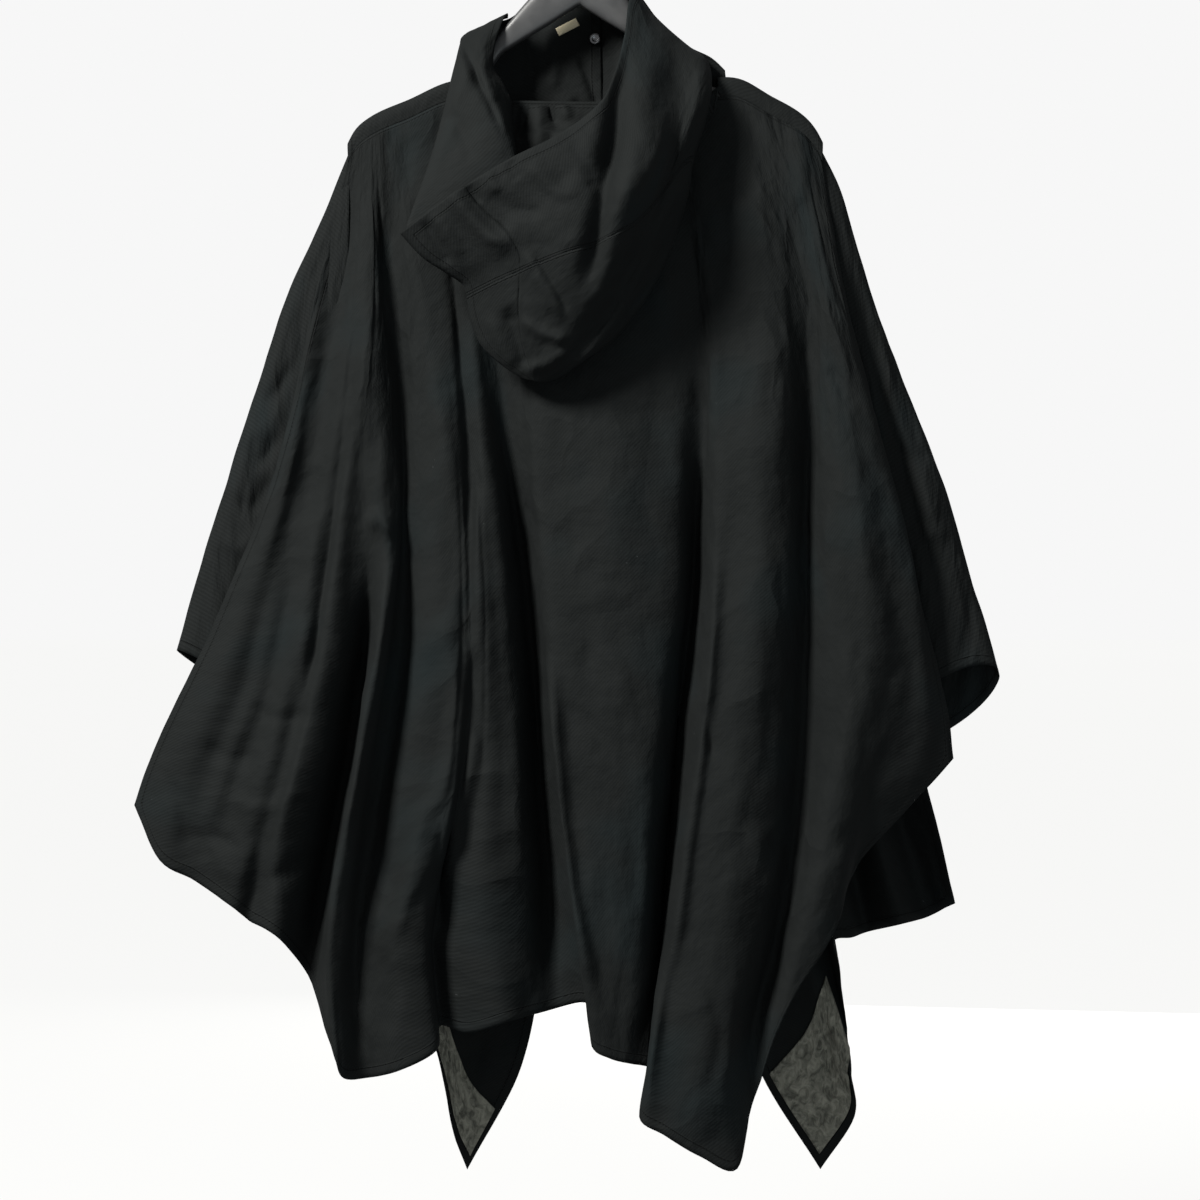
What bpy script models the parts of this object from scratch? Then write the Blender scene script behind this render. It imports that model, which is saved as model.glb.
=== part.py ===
"""A hooded cloak coat in black cloth, seen from its back, hung on a flat coat hanger.

The origin is the inner top of the hanger's hook. The coat's back faces -Y and its fronts face +Y.
Every cloth piece is one sheet, laid through the fold lines in its table and given the cloth's
thickness. The tables are in millimetres, and the meshes in metres.
"""

import math

import bmesh
import bpy
import numpy as np
from mathutils import Matrix

MM = 0.001

# Driving sizes, in millimetres
CLOTH = 1.5
FACING_CLOTH = 1.0
SEAM_GAP = 0.3
FACING_GAP = 1.0
SHOULDER_HALF_DEPTH = 9.0
YOKE_DROP = 19.0
YOKE_SEAM_GAP = 1.1
# How far forward of the shoulder's front a neckline starts to leave the yoke
NECK_TURN = 2.5
HOOD_SEAM_GAP = 0.9
HOOD_BELLY = 30.0
HOOD_VALLEY = 14.0
NAPE_PLEATS = 9
NAPE_PLEAT_DEPTH = 4.0
HANGER_HALF_DEPTH = 7.0
HOOK_WIRE = 4.4
HOOK_LOOP_RADIUS = 22.2
STUD_DIAMETER = 11.0
STUD_HEIGHT = 2.6
STUD_TOP_RADIUS = 4.0
# The rows of the right front's grid where its press studs are
STUD_ROWS = (7.5, 9.5, 11.5, 13.5)
LABEL_WIDTH = 22.0
LABEL_HEIGHT = 8.0
LABEL_THICKNESS = 0.8
LABEL_TURN = 28.0

# How far down each fold line, from its top to its hem, a table's x and y values are given
STATIONS = (0.0, 0.2, 0.45, 0.7, 0.9, 1.0)

# The line of the shoulders and the neck: x, z
SHOULDER_LINE = (
    (-221, -243),
    (-214, -230),
    (-204, -220),
    (-160, -199),
    (-123, -183),
    (-60, -183),
    (0, -184),
    (100, -183),
    (150, -180),
    (180, -196),
    (214, -217),
    (224, -229),
    (231, -242),
)

# The back's fold lines from the wearer's left to right.
# name, x at the six stations, z of the hem, y at the last five stations
BACK_FOLDS = (
    ("left_edge", -219, -249, -282, -339, -398, -422, -869, -19, -24, -25, -20, -12),
    ("wing_roll", -216, -243, -274, -323, -377, -395, -920, -23, -34, -42, -38, -30),
    ("wing_valley", -212, -228, -264, -295, -340, -362, -939, -24, -30, -32, -34, -30),
    ("wing_ridge", -207, -214, -241, -271, -308, -327, -961, -27, -40, -52, -54, -48),
    ("wing_dip", -205, -209, -228, -256, -292, -310, -976, -28, -36, -40, -42, -38),
    ("edge_ridge", -201, -197, -219, -242, -277, -284, -988, -30, -46, -60, -62, -58),
    ("left_pocket", -196, -193, -199, -210, -239, -257, -1029, -29, -36, -30, -24, -20),
    ("left_fold", -191, -186, -177, -210, -234, -230, -1089, -28, -44, -66, -74, -70),
    ("left_corner", -188, -182, -171, -202, -222, -221, -1118, -27, -43, -66, -72, -70),
    ("left_trough", -182, -167, -164, -192, -209, -200, -1122, -22, -29, -38, -46, -50),
    ("broad_left", -161, -146, -122, -134, -178, -167, -1112, -30, -52, -66, -70, -72),
    ("broad_turn", -142, -127, -110, -116, -145, -134, -1095, -28, -44, -54, -60, -64),
    ("mid_left_dip", -128, -118, -103, -105, -139, -132, -1076, -22, -28, -30, -28, -26),
    ("mid_left_rise", -118, -111, -94, -92, -114, -103, -1080, -26, -36, -42, -44, -44),
    ("mid_left_ridge", -108, -102, -85, -79, -82, -67, -1069, -28, -40, -46, -52, -54),
    ("deep_left", -93, -87, -63, -43, -30, -30, -1063, -20, -22, -22, -20, -18),
    ("deep_right", -76, -68, -47, -26, -7, 9, -1056, -22, -26, -26, -24, -22),
    ("centre_edge", -61, -51, -34, -20, 0, 12, -1090, -28, -46, -56, -64, -66),
    ("centre_left", -28, -17, 2, 19, 26, 27, -1101, -32, -50, -58, -66, -68),
    ("centre_right", 19, 33, 53, 62, 53, 47, -1107, -34, -52, -58, -62, -62),
    ("centre_fall", 57, 75, 94, 83, 72, 66, -1112, -30, -40, -42, -42, -44),
    ("right_trough", 83, 108, 110, 88, 78, 77, -1121, -22, -24, -22, -20, -20),
    ("sharp_ridge", 100, 121, 123, 101, 70, 56, -1154, -28, -44, -60, -74, -78),
    ("sharp_face", 116, 138, 137, 116, 89, 80, -1171, -30, -50, -68, -80, -84),
    ("broad_right", 149, 175, 171, 145, 120, 112, -1190, -34, -56, -70, -80, -84),
    ("right_corner", 163, 194, 193, 171, 145, 146, -1203, -30, -46, -58, -68, -74),
    ("side_trough", 178, 213, 214, 204, 172, 161, -1148, -22, -30, -36, -44, -50),
    ("side_rise", 191, 224, 231, 235, 208, 193, -1058, -28, -44, -56, -60, -58),
    ("side_ridge", 202, 232, 253, 262, 248, 236, -988, -30, -48, -58, -58, -54),
    ("side_fall", 211, 237, 270, 293, 276, 260, -925, -28, -44, -50, -46, -40),
    ("side_roll", 220, 243, 282, 317, 320, 312, -868, -25, -36, -40, -34, -26),
    ("right_edge", 228, 247, 283, 315, 345, 353, -825, -18, -20, -20, -16, -10),
)

# The fronts' fold lines from the side to the centre edge.
# name, x at the six stations, z of the hem, y at the last five stations, y and z at the neck
FRONT_LEFT_FOLDS = (
    ("side_edge", -220, -244, -278, -313, -330, -332, -945, 18, 32, 42, 45, 40, 9, -248),
    ("side_roll", -212, -236, -268, -302, -319, -321, -953, 20, 40, 54, 58, 54, 9, -243),
    ("side_ridge", -195, -220, -249, -280, -297, -301, -971, 24, 50, 66, 72, 70, 9, -237),
    ("side_valley", -172, -191, -221, -248, -262, -265, -997, 18, 32, 40, 42, 40, 9, -226),
    ("arm_ridge", -148, -165, -189, -214, -226, -229, -1031, 26, 54, 72, 80, 80, 9, -213),
    ("neck_out", -125, -144, -166, -188, -199, -202, -1047, 22, 42, 52, 56, 54, 9, -202),
    ("arm_valley", -119, -133, -152, -173, -184, -187, -1060, 20, 36, 44, 46, 44, 10.2, -203),
    ("neck_in", -113, -125, -144, -164, -176, -180, -1070, 22, 40, 50, 54, 54, 11.5, -204),
    ("chest_ridge", -100, -107, -124, -141, -154, -158, -1093, 26, 50, 68, 76, 76, 16, -207),
    ("chest_slope", -67, -72, -87, -109, -131, -139, -1112, 28, 48, 58, 60, 56, 26, -212),
    ("tip_edge", -29, -31, -47, -73, -102, -124, -1186, 34, 54, 66, 68, 60, 32, -218),
    ("centre_edge", 21, 19, 2, -30, -57, -110, -1227, 36, 56, 70, 74, 66, 34, -225),
)
FRONT_RIGHT_FOLDS = (
    ("side_edge", 230, 250, 278, 308, 345, 360, -967, 18, 32, 42, 45, 40, 9, -247),
    ("side_roll", 222, 241, 268, 297, 333, 351, -973, 20, 40, 54, 58, 54, 9, -242),
    ("side_ridge", 207, 225, 252, 279, 315, 336, -983, 24, 50, 66, 72, 70, 9, -235),
    ("side_valley", 183, 201, 225, 250, 287, 308, -987, 18, 32, 40, 42, 40, 9, -224),
    ("arm_ridge", 167, 180, 204, 228, 262, 280, -998, 26, 54, 72, 80, 80, 9, -211),
    ("neck_out", 135, 153, 183, 213, 246, 262, -1001, 22, 42, 52, 56, 54, 9, -200),
    ("arm_valley", 129, 145, 173, 200, 233, 244, -1004, 20, 36, 44, 46, 44, 10.2, -201),
    ("neck_in", 123, 139, 167, 197, 236, 250, -1035, 22, 40, 50, 54, 54, 11.5, -202),
    ("chest_ridge", 109, 125, 153, 189, 238, 259, -1098, 26, 50, 68, 76, 74, 16, -205),
    ("chest_slope", 81, 94, 127, 172, 227, 262, -1135, 30, 50, 60, 62, 60, 27, -210),
    ("tip_edge", 38, 53, 96, 155, 213, 266, -1176, 38, 60, 70, 72, 68, 36, -216),
    ("centre_edge", -5, -2, 58, 131, 172, 233, -1228, 41, 63, 76, 78, 72, 38, -223),
)

# The sleeves' sections from the armhole to the cuff. Each sleeve is two panels, and the turn is
# how far round from a seam the cloth has bent out of its edge.
SLEEVE_SEAM_TURN = 0.1
SLEEVE_SEAM_GAP = 0.9
# outer x, outer z, inner x, inner z, y, half depth, rise of the near side
SLEEVE_LEFT_SECTIONS = (
    (-218, -248, -220, -419, 0, 12.0, 0),
    (-242, -305, -230, -485, 0, 12.2, 0),
    (-281, -395, -240, -537, 2, 13, 0),
    (-324, -523, -257, -604, 6, 15, 0),
    (-357, -632, -276, -685, 6, 16, 2),
    (-383, -723, -297, -775, 6, 18, 6),
)
SLEEVE_RIGHT_SECTIONS = (
    (229, -248, 234, -419, 0, 11.4, 0),
    (247, -286, 243, -466, 0, 11.3, 0),
    (266, -347, 255, -513, 2, 10, 0),
    (285, -409, 269, -561, 4, 13, 0),
    (314, -485, 281, -618, 7, 16, 3),
    (348, -570, 293, -675, 9, 17, 8),
    (371, -656, 297, -742, 10, 18, 16),
    (399, -748, 290, -804, 10, 19, 28),
)

# The hood's edges, each a short run of x, y, z
FACE_EDGE = (
    (-166, -86, -336),
    (-121, -98, -304),
    (-64, -108, -270),
    (-18, -108, -247),
    (19, -96, -217),
    (31, -84, -191),
    (42, -46, -145),
    (47, -12, -106),
    (51, 2, -97),
    (53, 13, -96),
)
HOOD_LEFT_SIDE = (
    (-166, -86, -336),
    (-145, -80, -358),
    (-123, -75, -372),
    (-108, -70, -383),
    (-102, -63, -414),
    (-91, -62, -438),
    (-68, -62, -459),
    (-51, -62, -469),
)
HOOD_RIGHT_SIDE = (
    (53, 13, -96),
    (73, 3, -122),
    (103, 0, -149),
    (119, -8, -162),
    (124, -28, -190),
    (117, -42, -228),
    (106, -48, -264),
    (100, -52, -301),
    (72, -55, -376),
    (31, -60, -433),
    (-9, -62, -459),
)
HOOD_TIP = (
    (-51, -62, -469),
    (-37, -64, -472),
    (-21, -64, -469),
    (-9, -62, -459),
)
NAPE_SEAM = (
    (-117, -11.5, -205),
    (-94, -11.5, -206),
    (-63, -11.5, -207),
    (-19, -11.5, -207),
    (19, -11.5, -207),
    (95, -11.5, -206),
    (116, -11.5, -200),
    (132, -11.5, -188),
)
# Below these points the nape's sides and tip follow the near side's
NAPE_LEFT_SIDE = (
    (-117, -11.5, -205),
    (-122, -28, -242),
    (-127, -44, -301),
    (-117, -56, -353),
)
NAPE_RIGHT_SIDE = (
    (132, -11.5, -188),
    (127, -20, -214),
)
# Where the seams of the hood's near side lie, as parts of its width and of its fall
CENTRE_STRIP_U = 0.19
CROSS_SEAM_V = 0.47

# The hood's left side, turned out over the collar: its outer line, its ridge and its inner line
FLAP_OUTER = (
    (-112, 2, -142),
    (-113, -7, -146),
    (-117, -26, -169),
    (-120, -34, -183),
    (-126, -46, -213),
    (-139, -62, -265),
    (-152, -74, -304),
    (-161, -81, -331),
)
FLAP_RIDGE = (
    (-104, 5, -134),
    (-109, -10, -142),
    (-105, -38, -165),
    (-100, -56, -181),
    (-92, -64, -198),
    (-83, -70, -213),
    (-64, -84, -265),
    (-62, -86, -280),
    (-62, -86, -292),
)
FLAP_INNER = (
    (-69, 16, -119),
    (-69, 4, -117),
    (-74, -10, -128),
    (-82, -23, -172),
    (-72, -30, -190),
    (-65, -34, -205),
    (-63, -46, -235),
    (-59, -62, -258),
    (-58, -70, -270),
)
# The collar's top edges, from the centre to the neck point
COLLAR_LEFT_TOP = (
    (20, 34, -100),
    (-19, 32, -98),
    (-51, 28, -107),
    (-68, 17.8, -120),
    (-93, 10.6, -128),
    (-111, 4, -142),
    (-117, 6, -163),
    (-119, 8, -180),
)
COLLAR_RIGHT_TOP = (
    (-4, 41, -99),
    (22, 38, -95),
    (40, 32, -94),
    (53, 16, -95.5),
    (73, 5.6, -121.5),
    (103, 2, -149),
    (125, 3, -160),
    (138, 7, -171),
)

# The hanger's outline: x, z of its top, z of its underside
HANGER_OUTLINE = (
    (-212, -232, -240),
    (-204, -223, -238),
    (-182, -213, -229),
    (-160, -204, -219),
    (-140, -196, -211),
    (-125, -194, -206),
    (-112, -190, -202),
    (-100, -172, -192),
    (-74, -134, -156),
    (-50, -106, -141),
    (-25, -80, -126),
    (0, -66, -110),
    (25, -80, -126),
    (50, -111, -141),
    (74, -140, -158),
    (100, -168, -186),
    (123, -187, -202),
    (140, -191, -206),
    (160, -197, -212),
    (182, -202, -222),
    (208, -218, -238),
    (221, -236, -246),
)

# Colour as the photo shows it, then roughness and metallic
BLACK_CLOTH = ((0.012, 0.014, 0.016), 0.85, 0.0)
FACING_FINISH = ((0.20, 0.20, 0.16), 0.90, 0.0)
LABEL_FINISH = ((0.62, 0.58, 0.48), 0.80, 0.0)
HANGER_FINISH = ((0.035, 0.035, 0.037), 0.55, 0.0)
STEEL_FINISH = ((0.60, 0.60, 0.62), 0.25, 1.0)


def remove_old_objects():
    for old in list(bpy.data.objects):
        bpy.data.objects.remove(old, do_unlink=True)


def finish(name, values):
    colour, roughness, metallic = values
    material = bpy.data.materials.new(name)
    material.use_nodes = True
    shader = material.node_tree.nodes["Principled BSDF"]
    shader.inputs["Base Color"].default_value = (*colour, 1.0)
    shader.inputs["Roughness"].default_value = roughness
    shader.inputs["Metallic"].default_value = metallic
    return material


def ease(value):
    value = np.clip(value, 0.0, 1.0)
    return value * value * (3.0 - 2.0 * value)


def curve_through(places, values, at):
    """A smooth curve through values, given at rising places, read at other places."""
    places = np.asarray(places, float)
    values = np.asarray(values, float)
    at = np.clip(np.asarray(at, float), places[0], places[-1])
    runs = np.diff(places)
    chords = np.diff(values, axis=0) / runs.reshape(-1, *[1] * (values.ndim - 1))
    slopes = np.empty_like(values)
    slopes[0] = chords[0]
    slopes[-1] = chords[-1]
    slopes[1:-1] = 0.5 * (chords[1:] + chords[:-1])
    cell = np.clip(np.searchsorted(places, at, side="right") - 1, 0, len(runs) - 1)
    shape = (-1, *[1] * (values.ndim - 1))
    run = runs[cell].reshape(shape)
    part = ((at - places[cell]) / runs[cell]).reshape(shape)
    start = (1 + 2 * part) * (1 - part) ** 2 * values[cell]
    end = part**2 * (3 - 2 * part) * values[cell + 1]
    bend = part * (1 - part) ** 2 * slopes[cell] - part**2 * (1 - part) * slopes[cell + 1]
    return start + end + run * bend


def edge_at(points, at):
    """Points along an edge, at these parts of its length."""
    points = np.asarray(points, float)
    lengths = np.linalg.norm(np.diff(points, axis=0), axis=1)
    places = np.concatenate([[0.0], np.cumsum(lengths)])
    return curve_through(places / places[-1], points, at)


def shoulder_z(x):
    places, heights = zip(*SHOULDER_LINE)
    return curve_through(places, heights, np.atleast_1d(x))


def across(lines, cells_per_fold):
    """Fold lines, with a few more laid smoothly between each two."""
    count = len(lines) - 1
    return curve_through(range(count + 1), lines, np.linspace(0, count, count * cells_per_fold + 1))


def between_edges(top, bottom, left, right, u, v):
    """A patch inside four edges: u runs along top and bottom, v down left and right."""
    top_points = edge_at(top, u)[:, None]
    bottom_points = edge_at(bottom, u)[:, None]
    left_points = edge_at(left, v)[None]
    right_points = edge_at(right, v)[None]
    u = np.asarray(u, float)[:, None, None]
    v = np.asarray(v, float)[None, :, None]
    lofted = (1 - v) * top_points + v * bottom_points
    spanned = (1 - u) * left_points + u * right_points
    corners = (1 - v) * ((1 - u) * np.array(top[0]) + u * np.array(top[-1]))
    corners = corners + v * ((1 - u) * np.array(bottom[0]) + u * np.array(bottom[-1]))
    return lofted + spanned - corners


def normals_of(grid):
    along = np.gradient(grid, axis=0)
    down = np.gradient(grid, axis=1)
    normals = np.cross(along, down)
    return normals / np.linalg.norm(normals, axis=2, keepdims=True)


def mesh_object(name, mesh_tool, material):
    mesh = bpy.data.meshes.new(name)
    mesh_tool.to_mesh(mesh)
    mesh_tool.free()
    mesh.shade_smooth()
    mesh.materials.append(material)
    piece = bpy.data.objects.new(name, mesh)
    bpy.context.scene.collection.objects.link(piece)
    return piece


def sheet(name, grid, material, thickness=CLOTH):
    """A cloth wall whose middle lies on a grid of points."""
    across_cells = grid.shape[0] - 1
    down_cells = grid.shape[1] - 1
    tool = bmesh.new()
    bmesh.ops.create_grid(tool, x_segments=across_cells, y_segments=down_cells, size=1.0)
    for vertex in tool.verts:
        column = round((vertex.co.x + 1) / 2 * across_cells)
        row = round((vertex.co.y + 1) / 2 * down_cells)
        vertex.co = grid[column, row] * MM
    piece = mesh_object(name, tool, material)
    wall = piece.modifiers.new("cloth wall", "SOLIDIFY")
    wall.thickness = thickness * MM
    wall.offset = 0.0
    return piece


def panel(table, rows, cells_per_fold):
    """A sheet through the fold lines of a table, each from the panel's top to its hem."""
    numbers = np.array([row[1:] for row in table], float)
    folds = across(numbers, cells_per_fold)
    stations = np.linspace(0, 1, rows + 1)
    x = curve_through(STATIONS, folds[:, :6].T, stations).T
    hem_z = folds[:, 6:7]
    under_yoke = shoulder_z(folds[:, 0])[:, None] - YOKE_DROP
    if numbers.shape[1] > 12:
        top_y = folds[:, 12:13]
        on_shoulder = ease((SHOULDER_HALF_DEPTH + NECK_TURN - top_y) / NECK_TURN)
        top_z = on_shoulder * under_yoke + (1 - on_shoulder) * folds[:, 13:14]
    else:
        top_y = np.full_like(hem_z, -SHOULDER_HALF_DEPTH)
        top_z = under_yoke
    y = curve_through(STATIONS, np.concatenate([top_y, folds[:, 7:12]], axis=1).T, stations).T
    z = top_z + stations * (hem_z - top_z)
    return np.stack([x, y, z], axis=2)


def back_grid(rows=14, cells_per_fold=2):
    return panel(BACK_FOLDS, rows, cells_per_fold)


def front_grid(table, rows=14, cells_per_fold=2):
    """A front, with the yoke that it carries over the shoulder to the seam on the back."""
    grid = panel(table, rows, cells_per_fold)
    half = SHOULDER_HALF_DEPTH
    yoke = []
    for x, y, z in grid[:, 0]:
        on_shoulder = np.clip((half + NECK_TURN - y) / NECK_TURN, 0, 1)
        top = shoulder_z(x)[0]
        over = (
            (x, -half, top - YOKE_DROP + YOKE_SEAM_GAP),
            (x, -half, top - half),
            (x, -half * 0.72, top - half * 0.31),
            (x, 0.0, top),
            (x, half * 0.72, top - half * 0.31),
            (x, half, top - half),
            (x, half, top - YOKE_DROP),
        )
        start = 0.8 * (1 - ease(2 * on_shoulder - 1))
        over_shoulder = curve_through((0, 0.2, 0.35, 0.5, 0.65, 0.8, 1), over, np.linspace(start, 1, 7)[:6])
        below_neck = np.array([(x, y, z + 2.0 * (6 - step)) for step in range(6)])
        blend = ease(2 * on_shoulder)
        yoke.append(blend * over_shoulder + (1 - blend) * below_neck)
    return np.concatenate([np.array(yoke), grid], axis=1)


def sleeve_panel(sections, first_turn, cells_around=10, cells_per_section=2):
    """Half of a sleeve, from its seam on one edge round to its seam on the other."""
    sections = across(np.array(sections, float), cells_per_section)
    turn = np.linspace(0, math.pi, cells_around + 1)
    turn = np.sort(np.append(turn, (SLEEVE_SEAM_TURN, math.pi - SLEEVE_SEAM_TURN))) + first_turn
    rings = []
    for outer_x, outer_z, inner_x, inner_z, y, half_depth, rise in sections:
        middle = np.array([(outer_x + inner_x) / 2, y, (outer_z + inner_z) / 2])
        reach = np.array([(outer_x - inner_x) / 2, 0, (outer_z - inner_z) / 2])
        depth = np.array([0, -half_depth, rise])
        ring = middle + np.cos(turn)[:, None] * reach + np.sin(turn)[:, None] * depth
        ring[0] += SLEEVE_SEAM_GAP / 2 * unit(ring[1] - ring[0])
        ring[-1] += SLEEVE_SEAM_GAP / 2 * unit(ring[-2] - ring[-1])
        rings.append(ring)
    return np.array(rings).transpose(1, 0, 2)


def hood_patch(u_from, u_to, v_from, v_to, across_cells, down_cells):
    """A part of the hood's near side, as it hangs down the back like a bag."""
    u = np.linspace(u_from, u_to, across_cells + 1)
    v = np.linspace(v_from, v_to, down_cells + 1)
    grid = between_edges(FACE_EDGE, HOOD_TIP, HOOD_LEFT_SIDE, HOOD_RIGHT_SIDE, u, v)
    u = u[:, None]
    v = v[None]
    belly = HOOD_BELLY * np.sin(math.pi * u).clip(0) ** 0.8 * np.sin(math.pi * v).clip(0) ** 0.8
    valley_u = 0.86 - 0.36 * v
    valley = HOOD_VALLEY * np.exp(-(((u - valley_u) / 0.12) ** 2))
    grid[..., 1] += valley * ease((v - 0.08) / 0.25) * ease((1 - v) / 0.3) - belly
    return inset(grid, u_from > 0, u_to < 1, v_from > 0, v_to < 1)


def inset(grid, first_column, last_column, first_row, last_row):
    """Draws the chosen edges of a sheet in by half a seam's gap."""
    half_gap = HOOD_SEAM_GAP / 2
    grid = grid.copy()
    if first_column:
        grid[0] += half_gap * unit(grid[1] - grid[0])
    if last_column:
        grid[-1] += half_gap * unit(grid[-2] - grid[-1])
    if first_row:
        grid[:, 0] += half_gap * unit(grid[:, 1] - grid[:, 0])
    if last_row:
        grid[:, -1] += half_gap * unit(grid[:, -2] - grid[:, -1])
    return grid


def unit(vectors):
    return vectors / np.linalg.norm(vectors, axis=-1, keepdims=True)


def nape_grid(across_cells=18, down_cells=12):
    """The hood's far side, from the pleated seam at the nape down to the tip."""
    u = np.linspace(0, 1, across_cells + 1)
    v = np.linspace(0, 1, down_cells + 1)
    behind = np.array((0, CLOTH + HOOD_SEAM_GAP, 0))
    left = [*NAPE_LEFT_SIDE, *(edge_at(HOOD_LEFT_SIDE, np.linspace(0.42, 1, 9)) + behind)]
    right = [*NAPE_RIGHT_SIDE, *(edge_at(HOOD_RIGHT_SIDE, np.linspace(0.34, 1, 11)) + behind)]
    tip = np.array(HOOD_TIP) + behind
    grid = between_edges(NAPE_SEAM, tip, left, right, u, v)
    u = u[:, None]
    v = v[None]
    pleats = NAPE_PLEAT_DEPTH * np.cos(2 * math.pi * u * NAPE_PLEATS) * np.sin(math.pi * u) ** 2
    grid[..., 1] -= pleats * np.exp(-(((v - 0.14) / 0.1) ** 2)) * ease(v / 0.08)
    return grid


def flap_grid(rows=14):
    """The hood's left side, from the collar's roll down to where the bag covers it."""
    v = np.linspace(0, 1, rows + 1)
    outer = edge_at(FLAP_OUTER, v)
    ridge = edge_at(FLAP_RIDGE, v)
    inner = edge_at(FLAP_INNER, v)
    halfway = 0.5 * (outer + ridge) + np.outer(np.sin(math.pi * v), (0, -8, 0))
    return across(np.array([outer, halfway, ridge, inner]), 3)


def collar_grid(top, front, across_cells=14, down_cells=6):
    """A collar half, between its top edge and the neckline of its front."""
    u = np.linspace(0, 1, across_cells + 1)
    v = np.linspace(0, 1, down_cells + 1)[None, :, None]
    top_points = edge_at(top, u)[:, None]
    bottom_points = (edge_at(front, u) + (0, 0, 1.0))[:, None]
    fall = np.concatenate([v, v**0.4, v], axis=2)
    return (1 - fall) * top_points + fall * bottom_points


def neckline(front):
    """The free edge of a front's first row, from the centre edge to the neck point."""
    edge = front[::-1, 0]
    return edge[edge[:, 1] > SHOULDER_HALF_DEPTH]


def part_of(grid, columns, rows):
    """Points on a grid's own faces, at columns and rows that may lie between its lines."""
    for axis, places in ((0, columns), (1, rows)):
        places = np.asarray(places, float)
        before = np.clip(places.astype(int), 0, grid.shape[axis] - 2)
        part = (places - before).reshape([-1 if axis == k else 1 for k in range(3)])
        first = np.take(grid, before, axis=axis)
        second = np.take(grid, before + 1, axis=axis)
        grid = (1 - part) * first + part * second
    return grid


def facing_grid(front, columns, rows):
    """Cloth that lies inside a front's corner, made from the front's own points."""
    inward = normals_of(front)
    inward *= -np.sign(inward[..., 1:2])
    lift = CLOTH / 2 + FACING_GAP + FACING_CLOTH / 2
    return part_of(front + inward * lift, columns, rows)


def solid_of_rings(name, rings, material):
    """A closed body through rings of points, with its ends filled."""
    tool = bmesh.new()
    loops = [[tool.verts.new(point * MM) for point in ring] for ring in rings]
    count = len(rings[0])
    for first, second in zip(loops, loops[1:]):
        for index in range(count):
            after = (index + 1) % count
            tool.faces.new((first[index], first[after], second[after], second[index]))
    tool.faces.new(loops[0])
    tool.faces.new(loops[-1])
    bmesh.ops.recalc_face_normals(tool, faces=tool.faces)
    return mesh_object(name, tool, material)


def hanger(material, corners=12):
    """A flat board with rounded edges, cut to the curve of its outline."""
    outline = np.array(HANGER_OUTLINE, float)
    x = np.concatenate([np.linspace(a, b, 3)[:-1] for a, b in zip(outline[:-1, 0], outline[1:, 0])])
    x = np.append(x, outline[-1, 0])
    top = np.interp(x, outline[:, 0], outline[:, 1])
    base = np.interp(x, outline[:, 0], outline[:, 2])
    turn = np.arange(corners) * 2 * math.pi / corners
    round_y = np.sign(np.cos(turn)) * np.abs(np.cos(turn)) ** 0.6
    round_z = np.sign(np.sin(turn)) * np.abs(np.sin(turn)) ** 0.6
    rings = []
    for place, high, low in zip(x, top, base):
        half = HANGER_HALF_DEPTH * (0.6 if place in (x[0], x[-1]) else 1.0)
        ring_z = (high + low) / 2 + round_z * (high - low) / 2
        rings.append(np.stack([np.full(corners, place), round_y * half, ring_z], axis=1))
    return solid_of_rings("hanger", rings, material)


def hanger_hook(material, steps=26):
    """A bent wire whose inner top is the origin."""
    stem = [(0.0, -65.6), (0.0, -56.0), (2.5, -48.0), (8.0, -42.5)]
    centre_z = HOOK_WIRE / 2 - HOOK_LOOP_RADIUS
    points = [(x, z) for x, z in stem]
    for angle in np.linspace(math.radians(-55), math.radians(205), steps):
        points.append((HOOK_LOOP_RADIUS * math.cos(angle), centre_z + HOOK_LOOP_RADIUS * math.sin(angle)))
    wire = bpy.data.curves.new("hanger_hook", "CURVE")
    wire.dimensions = "3D"
    wire.bevel_depth = HOOK_WIRE / 2 * MM
    wire.bevel_resolution = 2
    wire.use_fill_caps = True
    spline = wire.splines.new("POLY")
    spline.points.add(len(points) - 1)
    for point, (x, z) in zip(spline.points, points):
        point.co = (x * MM, 0.0, z * MM, 1.0)
    wire.materials.append(material)
    piece = bpy.data.objects.new("hanger_hook", wire)
    bpy.context.scene.collection.objects.link(piece)
    return piece


def place_on(grid, column, row, side, lift):
    """The frame of a small piece that lies on a sheet: its own +Z points away from the cloth."""
    near = part_of(grid, (column - 0.2, column, column + 0.2), (row - 0.2, row, row + 0.2))
    axis = unit(np.cross(near[2, 1] - near[0, 1], near[1, 2] - near[1, 0]))
    axis *= side * np.sign(axis[1])
    level = unit(np.cross((0.0, 0.0, 1.0), axis))
    frame = np.identity(4)
    frame[:3, 0] = level
    frame[:3, 1] = np.cross(axis, level)
    frame[:3, 2] = axis
    frame[:3, 3] = (near[1, 1] + axis * lift) * MM
    return Matrix(frame.tolist())


def stud_on(name, grid, column, row, side, material):
    """A press stud's round cap, standing on the cloth with its axis square to it."""
    tool = bmesh.new()
    bmesh.ops.create_cone(
        tool,
        segments=16,
        cap_ends=True,
        radius1=STUD_DIAMETER / 2 * MM,
        radius2=STUD_TOP_RADIUS * MM,
        depth=STUD_HEIGHT * MM,
    )
    piece = mesh_object(name, tool, material)
    piece.matrix_world = place_on(grid, column, row, side, CLOTH / 2 + SEAM_GAP + STUD_HEIGHT / 2)


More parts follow.
